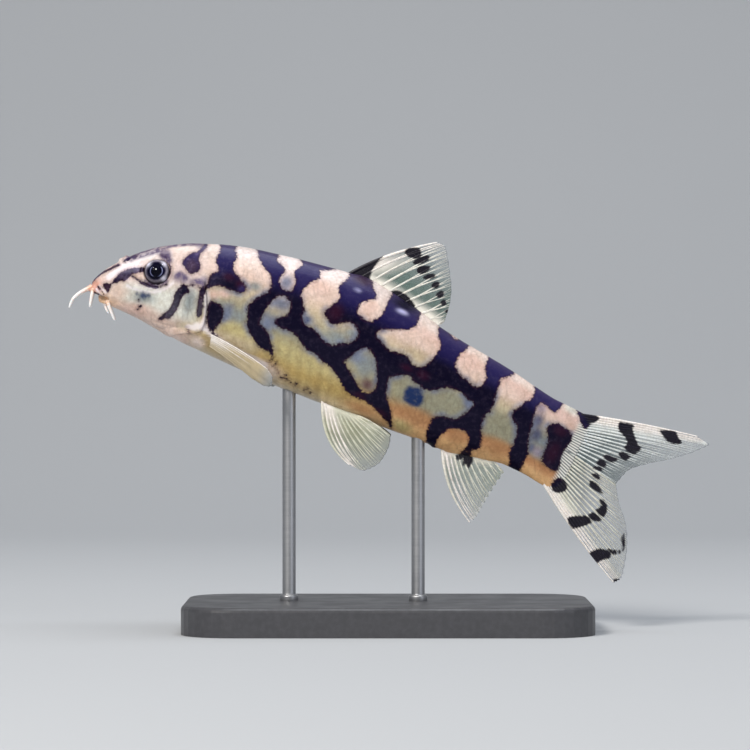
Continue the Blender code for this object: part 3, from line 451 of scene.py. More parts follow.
# where the pale tones change over along the back, the faint ribs over the belly and the cool rim of the net
paleZones = {
    "head": (21.5, 17.5),
    "rear": (48, 60),
    "ribs": {"strength": 0.09, "turns": 3.1, "lean": 0.2, "height": (-2.5, -5), "from": (22, 27),
             "to": (50, 44)},
    "rim": {"depth": (-1.2, -0.1), "top": (0.62, 0.4), "bottom": (-0.6, -0.35), "from": (20, 24)},
}


def paleColours(where, share, ink):
    back, height = where.T
    headward, rearward = (smoothStep(*paleZones[part], back)[:, None] for part in ("head", "rear"))
    head, front, rear = (shadeAt(share, paleShades[part]) for part in ("head", "front", "rear"))
    base = front * (1 - rearward) + rear * rearward
    ribs = paleZones["ribs"]
    wave = np.sin((back + ribs["lean"] * height) * ribs["turns"]) * smoothStep(*ribs["height"], height)
    wave = wave * smoothStep(*ribs["from"], back)
    base = base * (1 + ribs["strength"] * wave * smoothStep(*ribs["to"], back))[:, None]
    base = dabPatches(where, base * (1 - headward) + head * headward, palePatches)
    zone = paleZones["rim"]
    rim = smoothStep(*zone["depth"], ink) * smoothStep(*zone["top"], share) * smoothStep(*zone["bottom"], share)
    rim = rim * smoothStep(*zone["from"], back)
    uneven = np.array([noise.noise(Vector((b * 0.7, h * 0.7, 1.7))) for b, h in where])
    rim = (rim * np.clip(0.5 + 0.8 * uneven, 0.1, 0.8))[:, None]
    return base * (1 - rim) + colour(*skinTones["slate"]) * rim


def giveAttribute(mesh, name, values):
    values = np.asarray(values, np.float32)
    if values.ndim == 1:
        mesh.attributes.new(name, "FLOAT", "POINT").data.foreach_set("value", values)
    else:
        filled = np.column_stack([values, np.ones(len(values), np.float32)]).astype(np.float32)
        mesh.attributes.new(name, "FLOAT_COLOR", "POINT").data.foreach_set("color", filled.ravel())


def meshPoints(mesh, kind="co"):
    flat = np.empty(len(mesh.vertices) * 3, np.float32)
    mesh.vertices.foreach_get(kind, flat)
    return flat.reshape(-1, 3).astype(float)


def movePoints(mesh, points):
    mesh.vertices.foreach_set("co", np.asarray(points, np.float32).ravel())
    mesh.update()


def meshFrom(bm, name):
    mesh = bpy.data.meshes.new(name)
    bm.to_mesh(mesh)
    bm.free()
    return mesh


def joinMesh(bm, mesh):
    # takes a mesh in, with the piece's second material
    count = len(bm.faces)
    bm.from_mesh(mesh)
    bpy.data.meshes.remove(mesh)
    bm.faces.ensure_lookup_table()
    for face in bm.faces[count:]:
        face.material_index = 1


def addPiece(name, mesh, materials, nodes):
    # a finished piece in the scene, standing in for the CAD nodes, which are hidden
    piece = bpy.data.objects.new(name, mesh)
    scene.collection.objects.link(piece)
    for material in materials:
        mesh.materials.append(material)
    mesh.shade_smooth()
    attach(piece, "root")
    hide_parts(*nodes)
    return piece


# Materials

def plain(red, green, blue):
    return (*colour(red, green, blue), 1.0)


def newMaterial(name, settings):
    material = bpy.data.materials.new(name)
    material.use_nodes = True
    shader = material.node_tree.nodes["Principled BSDF"]
    for key, value in settings.items():
        shader.inputs[key].default_value = value
    return material, material.node_tree, shader


def addNode(tree, kind, values=None, **settings):
    made = tree.nodes.new("ShaderNode" + kind)
    for key, value in settings.items():
        setattr(made, key, value)
    for key, value in (values or {}).items():
        if isinstance(value, bpy.types.NodeSocket):
            tree.links.new(value, made.inputs[key])
        else:
            made.inputs[key].default_value = value
    return made


def attributeOf(tree, name, output="Fac"):
    return addNode(tree, "Attribute", attribute_name=name).outputs[output]


def maths(tree, operation, a, b=0.0, c=0.0):
    return addNode(tree, "Math", {0: a, 1: b, 2: c}, operation=operation).outputs[0]


def ramp(tree, value, low, high, lowTo=0.0, highTo=1.0):
    values = {"Value": value, "From Min": low, "From Max": high, "To Min": lowTo, "To Max": highTo}
    return addNode(tree, "MapRange", values, interpolation_type="SMOOTHSTEP").outputs["Result"]


def mixColour(tree, share, first, second, blend="MIX"):
    values = {"Fac": share, "Color1": first, "Color2": second}
    return addNode(tree, "MixRGB", values, blend_type=blend).outputs["Color"]


def patternPlace(tree, stretch):
    # where a pattern is looked up: on the piece, or drawn out along the fish's slope
    where = addNode(tree, "TexCoord").outputs["Object"]
    if stretch is None:
        return where
    slope = (0, math.radians(22), 0)
    return addNode(tree, "Mapping", {"Vector": where, "Rotation": slope, "Scale": stretch}).outputs[0]


def speckle(tree, scale, detail=2.0, rough=0.5, stretch=None):
    values = {"Vector": patternPlace(tree, stretch), "Scale": scale, "Detail": detail, "Roughness": rough}
    return addNode(tree, "TexNoise", values).outputs["Fac"]


def cells(tree, scale, feature="F1", random=1.0, stretch=None):
    values = {"Vector": patternPlace(tree, stretch), "Scale": scale, "Randomness": random}
    return addNode(tree, "TexVoronoi", values, feature=feature).outputs["Distance"]


def blotches(tree, noiseOf, limits):
    # speckles (scale, detail, roughness) from one value to another, and what these become
    return ramp(tree, speckle(tree, *noiseOf), *limits)


def stain(tree, share, base, tint):
    # darkens by a colour, as a glaze does
    return mixColour(tree, share, base, plain(*tint), "MULTIPLY")


def roughen(tree, shader, height, depth, strength=1.0, socket="Normal"):
    made = addNode(tree, "Bump", {"Height": height, "Distance": depth * mm, "Strength": strength})
    tree.links.new(made.outputs["Normal"], shader.inputs[socket])


# The skin: one closed surface over head, trunk and tail stem

skin = {
    "around": 160,
    "headRings": 150,
    "bodyRings": 262,
    "capRings": 4,
    "crowding": 1.3,  # how much closer the rings stand at the snout
    "tailEnd": 89.4,
    "swell": (0.3, 0.05),  # soft unevenness all over: how fine, and its height in mm
    "scales": (17, 24),  # where along the back the scales begin, and below where the tail's rays show through
    "tailRays": (85.6, 88.6),
    # raised and sunken lines: lift in mm, reach in mm, way along them as back, height (and out)
    "folds": {
        "upperLip": (0.6, 0.55, ((0.1, -0.3, 0), (0.45, -0.4, 0.7), (1.1, -0.7, 1.3), (2.2, -1.15, 1.75),
                                 (3.2, -1.75, 1.95))),
        "lipGroove": (-0.22, 0.22, ((0.15, 0.35, 0), (0.7, 0.35, 0.9), (1.8, -0.2, 1.7), (3.0, -0.9, 2.2))),
        "mouthGap": (-1.3, 0.34, ((1.0, -1.25, 0), (1.2, -1.3, 0.6), (1.85, -1.7, 1.2), (2.8, -2.1, 1.7))),
        "lowerLip": (0.6, 0.5, ((1.5, -2.4, 0), (1.7, -2.45, 0.55), (2.3, -2.7, 1.15), (3.2, -2.85, 1.6))),
        "chinGroove": (-0.1, 0.2, ((2.7, -3.3, 0), (3.1, -3.3, 0.8), (3.9, -3.3, 1.6), (4.5, -2.8, 2.2))),
        "cornerStrandFront": (0.42, 0.15, ((1.0, -0.5, 1.2), (1.7, -1.1, 1.5), (2.3, -1.7, 1.6))),
        "cornerStrandRear": (0.4, 0.16, ((1.9, 0.1, 1.9), (2.6, -0.8, 2.0), (3.1, -1.7, 2.0))),
        "strandGroove": (-0.3, 0.14, ((1.5, -0.25, 1.7), (2.2, -1.0, 1.85), (2.7, -1.6, 1.9))),
        "eyeGroove": (-0.34, 0.2, ((7.2, 1.75), (8.1, 1.2), (9.0, 0.8), (10, 0.45), (11.2, 0.35),
                                   (12.3, 0.55))),
        "eyeGrooveLip": (0.2, 0.42, ((6.4, 0.7), (7.4, 0.1), (8.6, -0.3), (10.4, -0.5), (12.1, -0.1),
                                     (13.3, 0.7))),
        "snoutRidge": (0.09, 0.6, ((1.5, 1.2), (4, 2.6), (7, 3.9), (9, 4.9))),
        "cheekFold": (-0.1, 0.3, ((15.9, 1.2), (15.6, -0.6), (15.1, -2.4), (14.0, -4.0), (12.6, -4.9))),
        "opercleRidge": (0.1, 0.5, ((17.0, 0.8), (17.2, -1.5), (16.8, -3.6), (15.6, -5.2))),
        "jawFold": (-0.05, 0.25, ((4.6, -2.6), (6.5, -3.4), (9, -4.3), (11.5, -5.4))),
        "throatFoldUpper": (-0.08, 0.25, ((11.6, -5.6), (14.2, -5.9), (17.0, -6.0), (18.8, -5.9))),
        "throatFoldLower": (-0.07, 0.25, ((11.8, -6.3), (14.4, -6.8), (16.6, -7.0))),
        "finShoulder": (0.4, 1.2, ((20.6, -5.7), (21.4, -6.4), (21.6, -7.2))),
        "lateralLine": (-0.05, 0.16, ((21.5, 0.8), (32, 0.9), (46, 0.9), (60, 0.6), (74, 0.2), (86, 0))),
        "dorsalRoot": (0.3, 0.9, ((43.5, 11.6, 0), (50.0, 10.8, 0), (57.0, 9.5, 0))),
        "analRoot": (0.3, 0.8, ((69.0, -9.2, 0), (73, -8.1, 0), (77.2, -7.3, 0))),
        "pelvicRoot": (0.35, 0.8, ((45.8, -9.9, 2.2), (48.4, -10.1, 2.2), (50.8, -10.1, 2.1))),
        "vent": (0.3, 0.6, ((66.6, -9.6, 0), (67.4, -9.5, 0))),
    },
    "eye": (11.1, 2.9),
    "socket": {"inner": 2.0, "outer": 2.28, "deep": 0.75, "rimAt": 2.5, "rim": 0.15, "rimReach": 0.24},
    # back, height, radius of the hole and of the ring round it, height of the ring
    "nostrils": ((5.55, 4.75, 0.36, 0.62, 0.42), (6.35, 4.5, 0.24, 0.5, 0.2)),
    "nostrilDeep": 0.7,
}


def skinGrid(bm, rings):
    # the sphere's vertices, as ring number and angle round the body
    places = np.array([v.co for v in bm.verts])
    ring = np.rint(np.arccos(np.clip(places[:, 2], -1, 1)) / math.pi * rings).astype(int)
    angle = np.degrees(np.arctan2(places[:, 1], places[:, 0]))
    return ring, np.where((ring == 0) | (ring == rings), 0.0, angle)


def skinPlaces(ring, angle):
    # body coordinates of each vertex, before the folds
    folded = np.where(angle > 90, 180 - angle, np.where(angle < -90, -180 - angle, angle))
    edge = gillEdge(folded)[:, 0]
    above, below = gill["free"]
    flap = smoothStep(*above, folded) * smoothStep(*below, folded)
    first, count = skin["headRings"], len(gill["fold"])
    fold = np.array(gill["fold"])
    step = np.clip(ring - first, 0, count - 1)
    flat = np.linspace(fold[0, 0], fold[-1, 0], count)
    grow = np.where((ring >= first) & (ring < first + count), fold[step, 1] * flap, 0.0)
    back = edge + fold[step, 0] * flap + flat[step] * (1 - flap)
    before = (ring / first) ** skin["crowding"] * (edge + fold[0, 0])
    start = edge + fold[-1, 0]
    along = (ring - first - count + 1) / skin["bodyRings"]
    after = start + (skin["tailEnd"] - start) * np.clip(along, 0, 1)
    back = np.where(ring < first, before, np.where(ring >= first + count, after, back))
    left = skin["capRings"] + skin["bodyRings"] + first + count - ring
    shrink = np.clip(left / (skin["capRings"] + 1), 0, 1) ** 0.5
    shrink[ring == 0] = 0
    high, deep, wide, squareUp, squareDown = sectionAt(back).T
    c, s = np.cos(np.radians(angle)), np.sin(np.radians(angle))
    power = 2 / np.where(s > 0, squareUp, squareDown)
    height = (np.where(s > 0, high, deep) + grow) * np.sign(s) * np.abs(s) ** power * shrink
    out = (wide + grow) * np.sign(c) * np.abs(c) ** power * shrink
    return np.column_stack([back, height, out])


def foldLift(places):
    # how far the folds, the eye socket and the nostrils raise or sink each point, in mm
    lift = np.zeros(len(places))
    half = np.column_stack([places[:, 0], places[:, 1], np.abs(places[:, 2])])
    for height, reach, way in skin["folds"].values():
        way = np.array(way, float) if len(way[0]) == 3 else onSide(way)
        path = curveThrough(way)(np.linspace(0, len(way) - 1, 6 * len(way)))
        near = np.all((half > path.min(0) - 3 * reach) & (half < path.max(0) + 3 * reach), axis=1)
        far, _ = lineDistance(half[near], path)
        # each fold grows shallower towards its end
        fade = smoothStep(0, 0.9, np.linalg.norm(half[near] - path[-1], axis=1)) * 0.6 + 0.4
        lift[near] += height * np.exp(-(far / reach) ** 2) * fade
    socket = skin["socket"]
    far = np.linalg.norm(half - onSide([skin["eye"]])[0], axis=1)
    lift -= socket["deep"] * smoothStep(socket["outer"], socket["inner"], far)
    lift += socket["rim"] * np.exp(-((far - socket["rimAt"]) / socket["rimReach"]) ** 2)
    for back, height, hole, ring, raised in skin["nostrils"]:
        far = np.linalg.norm(half - onSide([(back, height)])[0], axis=1)
        lift += raised * np.exp(-((far - ring) / (ring * 0.42)) ** 2)
        lift -= skin["nostrilDeep"] * smoothStep(hole * 1.25, hole * 0.6, far)
    return lift


# how far the marks of the unseen side are shifted, back and up in mm, how unevenly, and how little on the head
unseenSide = {
    "shift": (5.2, 2.6), "uneven": (0.075, 0.09), "depths": (4.3, 19.6), "from": 3.0, "head": 0.25,
    "neck": (17, 30),
}


def otherSide(places):
    # where the marks of the unseen side are looked up: the same net, shifted unevenly
    where = places[:, :2].copy()
    right = places[:, 2] < 0
    least = unseenSide["head"]
    turned = smoothStep(0, unseenSide["from"], -places[right, 2])
    turned = turned * (least + (1 - least) * smoothStep(*unseenSide["neck"], places[right, 0]))
    along, up = unseenSide["uneven"]
    shift = np.array([[noise.noise(Vector((b * along, h * up, depth))) for depth in unseenSide["depths"]]
                      for b, h in where[right]])
    where[right] += shift * np.array(unseenSide["shift"]) * turned[:, None]
    return where


# pale strokes on the head and flank, the one along the lip under the eye groove and the one along the pectoral
# fin painted highlights: radius in mm and way
paleStrokesAndHighlights = {
    # painted highlight along the raised lip under the eye groove
    "underEye": (0.23, ((6.4, 0.1), (7.4, -0.35), (8.6, -0.6), (10.4, -0.78), (12.1, -0.4), (13.3, 0.5),
                        (14.1, 1.4))),
    "snoutStripe": (0.5, ((3.2, 1.5), (5, 2.9), (6.6, 3.9), (8.2, 4.9), (9.7, 5.7), (10.7, 6.5))),
    "gillRim": (0.42, ((19.9, 1.0), (20.6, -0.6), (21, -2.7), (21, -4.3), (19.7, -5.3), (18.2, -5.4))),
    # painted highlight along the pectoral fin's upper edge
    "finRidge": (0.45, ((19.4, -4.8), (21.5, -4.9), (24, -6.1), (27.9, -7.1), (33.3, -7.9))),
    "strandFront": (0.12, ((1.15, -0.35), (1.6, -0.9), (2.15, -1.6))),
    "strandRear": (0.12, ((1.5, 0.2), (2.1, -0.45), (2.8, -1.1))),
}
# small blue spots: back, height, radius
blueSpots = ((9.3, -1.35, 0.85), (10.2, -1.3, 0.5), (8.2, -1.2, 0.35), (37.9, 1.6, 0.6))
duskLines = {
    "snoutBand": (0.75, ((6.8, 4.95), (7.6, 5.4), (8.8, 5.95), (10.0, 6.45), (11.4, 7.0))),
    "underLid": (0.42, ((9.6, 1.0), (10.3, 0.7), (11.2, 0.6), (12.1, 0.9), (12.9, 1.5))),
    "crown": (0.8, ((11.4, 7.2), (11.9, 6.2), (12.5, 5.2))),
    "napeEdge": (0.45, ((11.4, 7.3), (13, 7.9), (15, 8.5), (17.4, 9.2))),
    "temple": (0.5, ((14.6, 2.6), (15.0, 3.1), (15.9, 2.5))),
    "opercleTop": (0.45, ((17.2, 2.2), (18.3, 2.6), (19.2, 2.2))),
}
# how far these dark outlines are widened, in mm
growMarks = {"cheekBar": 0.16, "gillBar": 0.12, "eyeStripe": 0.08}


def strokes(where, lines):
    # 1 on the strokes, falling softly to 0 beside them
    share = np.zeros(len(where))
    for radius, way in lines.values():
        far, _ = lineDistance(where, np.array(way, float))
        share = np.maximum(share, smoothStep(radius * 1.5, radius * 0.5, far))
    return share


def blueShare(where):
    share = smoothStep(-0.7, 0.8, depthInside(where, blueSpot))
    for back, height, radius in blueSpots:
        far = np.hypot(where[:, 0] - back, where[:, 1] - height)
        share = np.maximum(share, smoothStep(radius * 1.7, radius * 0.3, far) * 0.62)
    return share


def inkDepth(where):
    # how deep each point lies in the dark markings and the painted shade lines, in mm
    ink = depthInside(where, darkMarks["net"])
    for outline in paleMarks.values():
        ink = np.minimum(ink, -depthInside(where, outline))
    for name, outline in darkMarks.items():
        if name != "net":
            ink = np.maximum(ink, depthInside(where, outline) + growMarks.get(name, 0))
    for radius, way in darkLinesAndShade.values():
        far, _ = lineDistance(where, np.array(way, float))
        ink = np.maximum(ink, radius - far)
    for back, height in specks["places"]:
        ink = np.maximum(ink, specks["radius"] - np.hypot(where[:, 0] - back, where[:, 1] - height))
    return ink


# the tail fin's root: where it is, how far it reaches down and up, and how steeply its rays leave it there
tailRoot = {"back": 87, "heights": (-6.7, 0, 6.2), "slopes": (-0.55, -0.14, 0.29), "rays": 16}


def tailFan(places):
    # which ray of the tail fin starts under each point, counted from the middle
    root = places[:, 1]
    for _ in range(3):
        slope = np.interp(root, tailRoot["heights"], tailRoot["slopes"])
        root = places[:, 1] - slope * (places[:, 0] - tailRoot["back"])
    low, _, high = tailRoot["heights"]
    return np.abs(root) * tailRoot["rays"] / np.where(root > 0, high, -low)


# The skin's finish. Noise is given as scale, detail and roughness, and limits as the values it runs between
# and, where they aren't 0 and 1, what these become.
wetSkin = {
    "dark": {"tint": (150, 145, 165), "edge": (48, 18, 28), "bloom": (84, 72, 92),
             "bloomNoise": ((1300, 4, 0.65), (0.46, 0.72, 0.0, 1.0))},
    "stains": (
        ((620, 5, 0.6), (0.3, 0.72, 0.0, 0.3), (196, 172, 140)),
        ((2100, 3, 0.7), (0.35, 0.7, 0.22, 0.0), (150, 128, 104)),
    ),
    # crease: fine folds, their cells darkened as painted shade and also used as relief
    "crease": {"cells": 620, "stretch": (1.5, 1, 0.7), "deep": (0.0, 0.22, 0.19, 0.0),
               "where": ((330, 2), (0.4, 0.62)), "tint": (120, 104, 96)},
    # how much the white strokes show and their colour; some strokes are painted highlights
    "white": (0.75, (232, 224, 226)),
    "blue": (24, 44, 84),
    "dusk": (((1300, 4, 0.6), (0.36, 0.6, 0.55, 1.0)), (92, 80, 104)),
    "besideDark": ((-0.55, -0.05, 0.0, 0.38), (150, 126, 140)),
    "pepper": {"cells": 2300, "size": (0.1, 0.2, 1.0, 0.0), "where": ((420, 2), (0.52, 0.66)), "share": 0.5,
               "tint": (70, 58, 52)},
    "fan": ((128, 132, 130), (232, 230, 222)),
    "roughness": ((1100, 3), (0.3, 0.7, 0.3, 0.42)),
}


def darkSkin(tree, ragged, scaly):
    # purple-brown at its edge, deeper inside, with a dusty bloom
    look = wetSkin["dark"]
    dark = stain(tree, 1.0, attributeOf(tree, "darkTint", "Color"), look["tint"])
    dark = mixColour(tree, ramp(tree, ragged, 0.0, 0.5, 0.55, 0.0), dark, plain(*look["edge"]))
    bloom = maths(tree, "MULTIPLY", blotches(tree, *look["bloomNoise"]), ramp(tree, scaly, 0.0, 1.0, 0.5, 0.12))
    return mixColour(tree, bloom, dark, plain(*look["bloom"]), "SCREEN")


def paleSkin(tree, ragged, crease):
    # mottled, with painted shade in its fine folds, with white and blue strokes (some of the white ones painted
    # highlights), dusky beside the dark, with pepper dots
    pale = attributeOf(tree, "paleTint", "Color")
    for noiseOf, limits, tint in wetSkin["stains"]:
        pale = stain(tree, blotches(tree, noiseOf, limits), pale, tint)
    # painted shade in the fine folds
    pale = stain(tree, crease, pale, wetSkin["crease"]["tint"])
    # white strokes, some of them painted highlights
    most, tint = wetSkin["white"]
    pale = mixColour(tree, maths(tree, "MULTIPLY", attributeOf(tree, "white"), most), pale, plain(*tint))
    spot = maths(tree, "ADD", speckle(tree, 1200, 4, 0.65), attributeOf(tree, "blue"))
    pale = mixColour(tree, ramp(tree, spot, 0.55, 1.5), pale, plain(*wetSkin["blue"]))
    cloud, tint = wetSkin["dusk"]
    dusk = maths(tree, "MULTIPLY", attributeOf(tree, "dusk"), blotches(tree, *cloud))
    pale = mixColour(tree, dusk, pale, plain(*tint))
    limits, tint = wetSkin["besideDark"]
    pale = stain(tree, ramp(tree, ragged, *limits), pale, tint)
    pepper = wetSkin["pepper"]
    dots = ramp(tree, cells(tree, pepper["cells"]), *pepper["size"])
    dots = maths(tree, "MULTIPLY", dots, blotches(tree, *pepper["where"]))
    return mixColour(tree, maths(tree, "MULTIPLY", dots, pepper["share"]), pale, plain(*pepper["tint"]))


def skinMaterial():
    material, tree, shader = newMaterial("wetLoachSkin", {
        "Specular IOR Level": 0.24, "Specular Tint": (0.4, 0.36, 0.8, 1.0),
        "Coat Weight": 0.16, "Coat Roughness": 0.12, "Coat IOR": 1.33,
        "Subsurface Weight": 0.06, "Subsurface Radius": (0.8, 0.4, 0.3), "Subsurface Scale": 0.0006,
    })
    scaly = attributeOf(tree, "scaly")
    uneven = maths(tree, "SUBTRACT", speckle(tree, 2000, 4, 0.75), 0.5)
    fray = ramp(tree, scaly, 0.0, 1.0, 0.8, 1.45)
    ragged = maths(tree, "MULTIPLY_ADD", uneven, fray, attributeOf(tree, "ink"))
    # fine folds: relief in the bump, and painted shade in the pale colour
    look = wetSkin["crease"]
    crease = ramp(tree, cells(tree, look["cells"], "DISTANCE_TO_EDGE", 1.0, look["stretch"]), *look["deep"])
    crease = maths(tree, "MULTIPLY", crease, blotches(tree, *look["where"]))
    # the tail rays begin to show through the end of the skin
    stripe = maths(tree, "COSINE", maths(tree, "MULTIPLY", attributeOf(tree, "fan"), math.tau))
    fan = mixColour(tree, ramp(tree, stripe, -0.7, 0.5), *(plain(*tint) for tint in wetSkin["fan"]))
    fanShare = maths(tree, "MULTIPLY_ADD", speckle(tree, 900, 4, 0.6), 0.9, attributeOf(tree, "fanShare"))
    fanShare = ramp(tree, fanShare, 0.65, 1.25)
    pale = mixColour(tree, fanShare, paleSkin(tree, ragged, crease), fan)
    skinColour = mixColour(tree, ramp(tree, ragged, -0.13, 0.13), pale, darkSkin(tree, ragged, scaly))
    tree.links.new(skinColour, shader.inputs["Base Color"])
    tree.links.new(blotches(tree, *wetSkin["roughness"]), shader.inputs["Roughness"])
    # tiny scales behind the head, a finer grain everywhere
    scales = maths(tree, "MULTIPLY", cells(tree, 2600, "SMOOTH_F1", 0.8, (0.75, 1, 1.25)), scaly)
    grain = maths(tree, "MULTIPLY_ADD", speckle(tree, 5200, 3), 0.35, scales)
    grain = maths(tree, "MULTIPLY_ADD", crease, -1.6, grain)
    grain = maths(tree, "MULTIPLY_ADD", stripe, maths(tree, "MULTIPLY", fanShare, 0.7), grain)
    roughen(tree, shader, grain, 0.05, 0.6)
    roughen(tree, shader, speckle(tree, 2400, 2), 0.02, 0.5, "Coat Normal")
    return material


def buildSkin():
    bm = bmesh.new()
    rings = skin["headRings"] + len(gill["fold"]) + skin["bodyRings"] + skin["capRings"]
    bmesh.ops.create_uvsphere(bm, u_segments=skin["around"], v_segments=rings, radius=1)
    ring, angle = skinGrid(bm, rings)
    places = skinPlaces(ring, angle)
    for vert, place in zip(bm.verts, toWorld(places)):
        vert.co = place
    bmesh.ops.recalc_face_normals(bm, faces=bm.faces)
    mesh = meshFrom(bm, "loachSkin")
    fine, high = skin["swell"]
    swell = np.array([noise.noise(Vector((b * fine, h * fine, o * fine))) for b, h, o in places]) * high
    movePoints(mesh, meshPoints(mesh) + meshPoints(mesh, "normal") * (foldLift(places) + swell)[:, None] * mm)
    where = otherSide(places)
    ink = inkDepth(where)
    giveAttribute(mesh, "ink", ink)
    high, deep = sectionAt(where[:, 0])[:, :2].T
    share = np.clip(where[:, 1] / np.maximum(np.where(where[:, 1] > 0, high, deep), 1), -1, 1)
    giveAttribute(mesh, "paleTint", paleColours(where, share, ink))
    # dark skin colours, with painted sheen towards the back and painted highlights
    giveAttribute(mesh, "darkTint", dabPatches(where, shadeAt(share, darkShadesWithSheen), darkPatches))
    # pale strokes, some of them painted highlights
    giveAttribute(mesh, "white", strokes(where, paleStrokesAndHighlights))
    giveAttribute(mesh, "blue", blueShare(where))
    giveAttribute(mesh, "dusk", strokes(where, duskLines))
    giveAttribute(mesh, "scaly", smoothStep(*skin["scales"], places[:, 0]))
    giveAttribute(mesh, "fan", tailFan(places))
    giveAttribute(mesh, "fanShare", smoothStep(*skin["tailRays"], places[:, 0] - 0.03 * places[:, 1] ** 2))
    return addPiece("loachSkin", mesh, [skinMaterial()], ("head", "trunk", "tail_stem"))


loachSkin = buildSkin()
print("skin:", len(loachSkin.data.vertices), "points")


# Eyes: a ball with a sunken iris under a clear dome

eye = {
    "turns": 64,
    "rim": 2.2,  # radius of the whole eye in mm
    # radius and height over the skin, from the pupil out, over the silver ring and round the back
    "ball": ((0, 0.16), (0.5, 0.16), (0.82, 0.17), (0.86, 0.2), (0.92, 0.3), (1.0, 0.33), (1.08, 0.31),
             (1.3, 0.35), (1.5, 0.4), (1.58, 0.45), (1.66, 0.5), (1.76, 0.47), (1.9, 0.38), (2.05, 0.22),
             (2.17, 0.0), (2.2, -0.3), (1.9, -0.9), (1.2, -1.2), (0, -1.3)),
    "dome": ((0, 0.74), (0.4, 0.725), (0.8, 0.68), (1.15, 0.61), (1.45, 0.52), (1.62, 0.46), (1.6, 0.42),
             (1.4, 0.45), (1.1, 0.53), (0.8, 0.6), (0.4, 0.65), (0, 0.66)),
    # rings of colour from the pupil out: place as a share of the rim's radius, colour
    "rings": ((0.0, (3, 2, 16)), (0.4, (4, 3, 20)), (0.435, (40, 42, 84)), (0.475, (172, 176, 208)),
              (0.515, (40, 38, 78)), (0.56, (10, 8, 36)), (0.66, (14, 11, 38)), (0.72, (64, 60, 80)),
              (0.79, (122, 116, 132)), (0.86, (150, 144, 156)), (0.93, (104, 96, 108)), (1.0, (62, 50, 62))),
    # painted highlights on the outer ring: radius of the ring, directions from the tail side up
    "glints": (1.85, (0.8, 2.4, -0.75)),
    # painted shade: the eye is darkened away from this direction, towards the light
    "light": (0.45, 0, 0.9),  # towards the paler side of the eye
}


def eyePlace(side):
    # a frame on the skin over the eye, Z straight out
    back, height = skin["eye"]
    spots = onSide([(back, height), (back + 0.2, height), (back, height + 0.2)])
    spots[:, 2] *= side
    middle, behind, above = (Vector(p) for p in toWorld(spots))
    out = (above - middle).cross(behind - middle).normalized() * side
    if out.y * side > 0:
        out.negate()
    return Matrix.Translation(middle) @ out.to_track_quat("Z", "Y").to_matrix().to_4x4()


def eyeMaterial():
    material, tree, shader = newMaterial("loachIris", {"Specular IOR Level": 0.03, "Roughness": 0.5})
    place = attributeOf(tree, "ringPlace")
    rings = addNode(tree, "ValToRGB", {"Fac": place})
    stops = rings.color_ramp.elements
    for i, (radius, tint) in enumerate(eye["rings"]):
        stop = stops[i] if i < 2 else stops.new(radius)
        stop.position, stop.color = radius, plain(*tint)
    streaks = blotches(tree, (2600, 4, 0.7), (0.35, 0.7, 0.72, 1.15))
    shade = mixColour(tree, 1.0, rings.outputs["Color"], streaks, "MULTIPLY")
    # the silver ring fades out above and below the pupil
    gap = ramp(tree, maths(tree, "ABSOLUTE", attributeOf(tree, "sine")), 0.6, 0.88)
    inner = ramp(tree, place, 0.6, 0.55)
    shade = mixColour(tree, maths(tree, "MULTIPLY", gap, inner), shade, plain(6, 5, 26))
    # painted shade on the side of the eye away from the light
    lit = stain(tree, ramp(tree, attributeOf(tree, "lit"), 0.0, 1.0, 0.6, 0.0), shade, (70, 58, 74))
    # painted highlights on the outer ring
    glint = maths(tree, "MULTIPLY", attributeOf(tree, "glint"), 0.8)
    tree.links.new(mixColour(tree, glint, lit, plain(226, 224, 240)), shader.inputs["Base Color"])
    roughen(tree, shader, speckle(tree, 3800, 3), 0.03, 0.5)
    return material


def domeMaterial():
    material, tree, shader = newMaterial("clearCornea", {"Roughness": 0.03})
    tree.nodes.remove(shader)
    clear = addNode(tree, "BsdfTransparent", {"Color": (0.93, 0.94, 0.97, 1)})
    gloss = addNode(tree, "BsdfGlossy", {"Color": (1, 1, 1, 1), "Roughness": 0.03})
    mirror = maths(tree, "MULTIPLY", addNode(tree, "Fresnel", {"IOR": 1.33}).outputs[0], 0.09)
    mixed = addNode(tree, "MixShader", {0: mirror, 1: clear.outputs[0], 2: gloss.outputs[0]})
    tree.links.new(mixed.outputs[0], tree.nodes["Material Output"].inputs["Surface"])
    return material


def spunMesh(bm, profile, turns):
    # a closed round body from (radius, height) stops in mm, turned about Z
    rim = [bm.verts.new((radius, 0, height)) for radius, height in profile]
    edges = [bm.edges.new(pair) for pair in zip(rim, rim[1:])]
    bmesh.ops.spin(bm, geom=rim + edges, angle=math.tau, steps=turns, axis=(0, 0, 1), cent=(0, 0, 0),
                   use_merge=True)
    bmesh.ops.remove_doubles(bm, verts=bm.verts, dist=1e-4)
    bmesh.ops.recalc_face_normals(bm, faces=bm.faces)


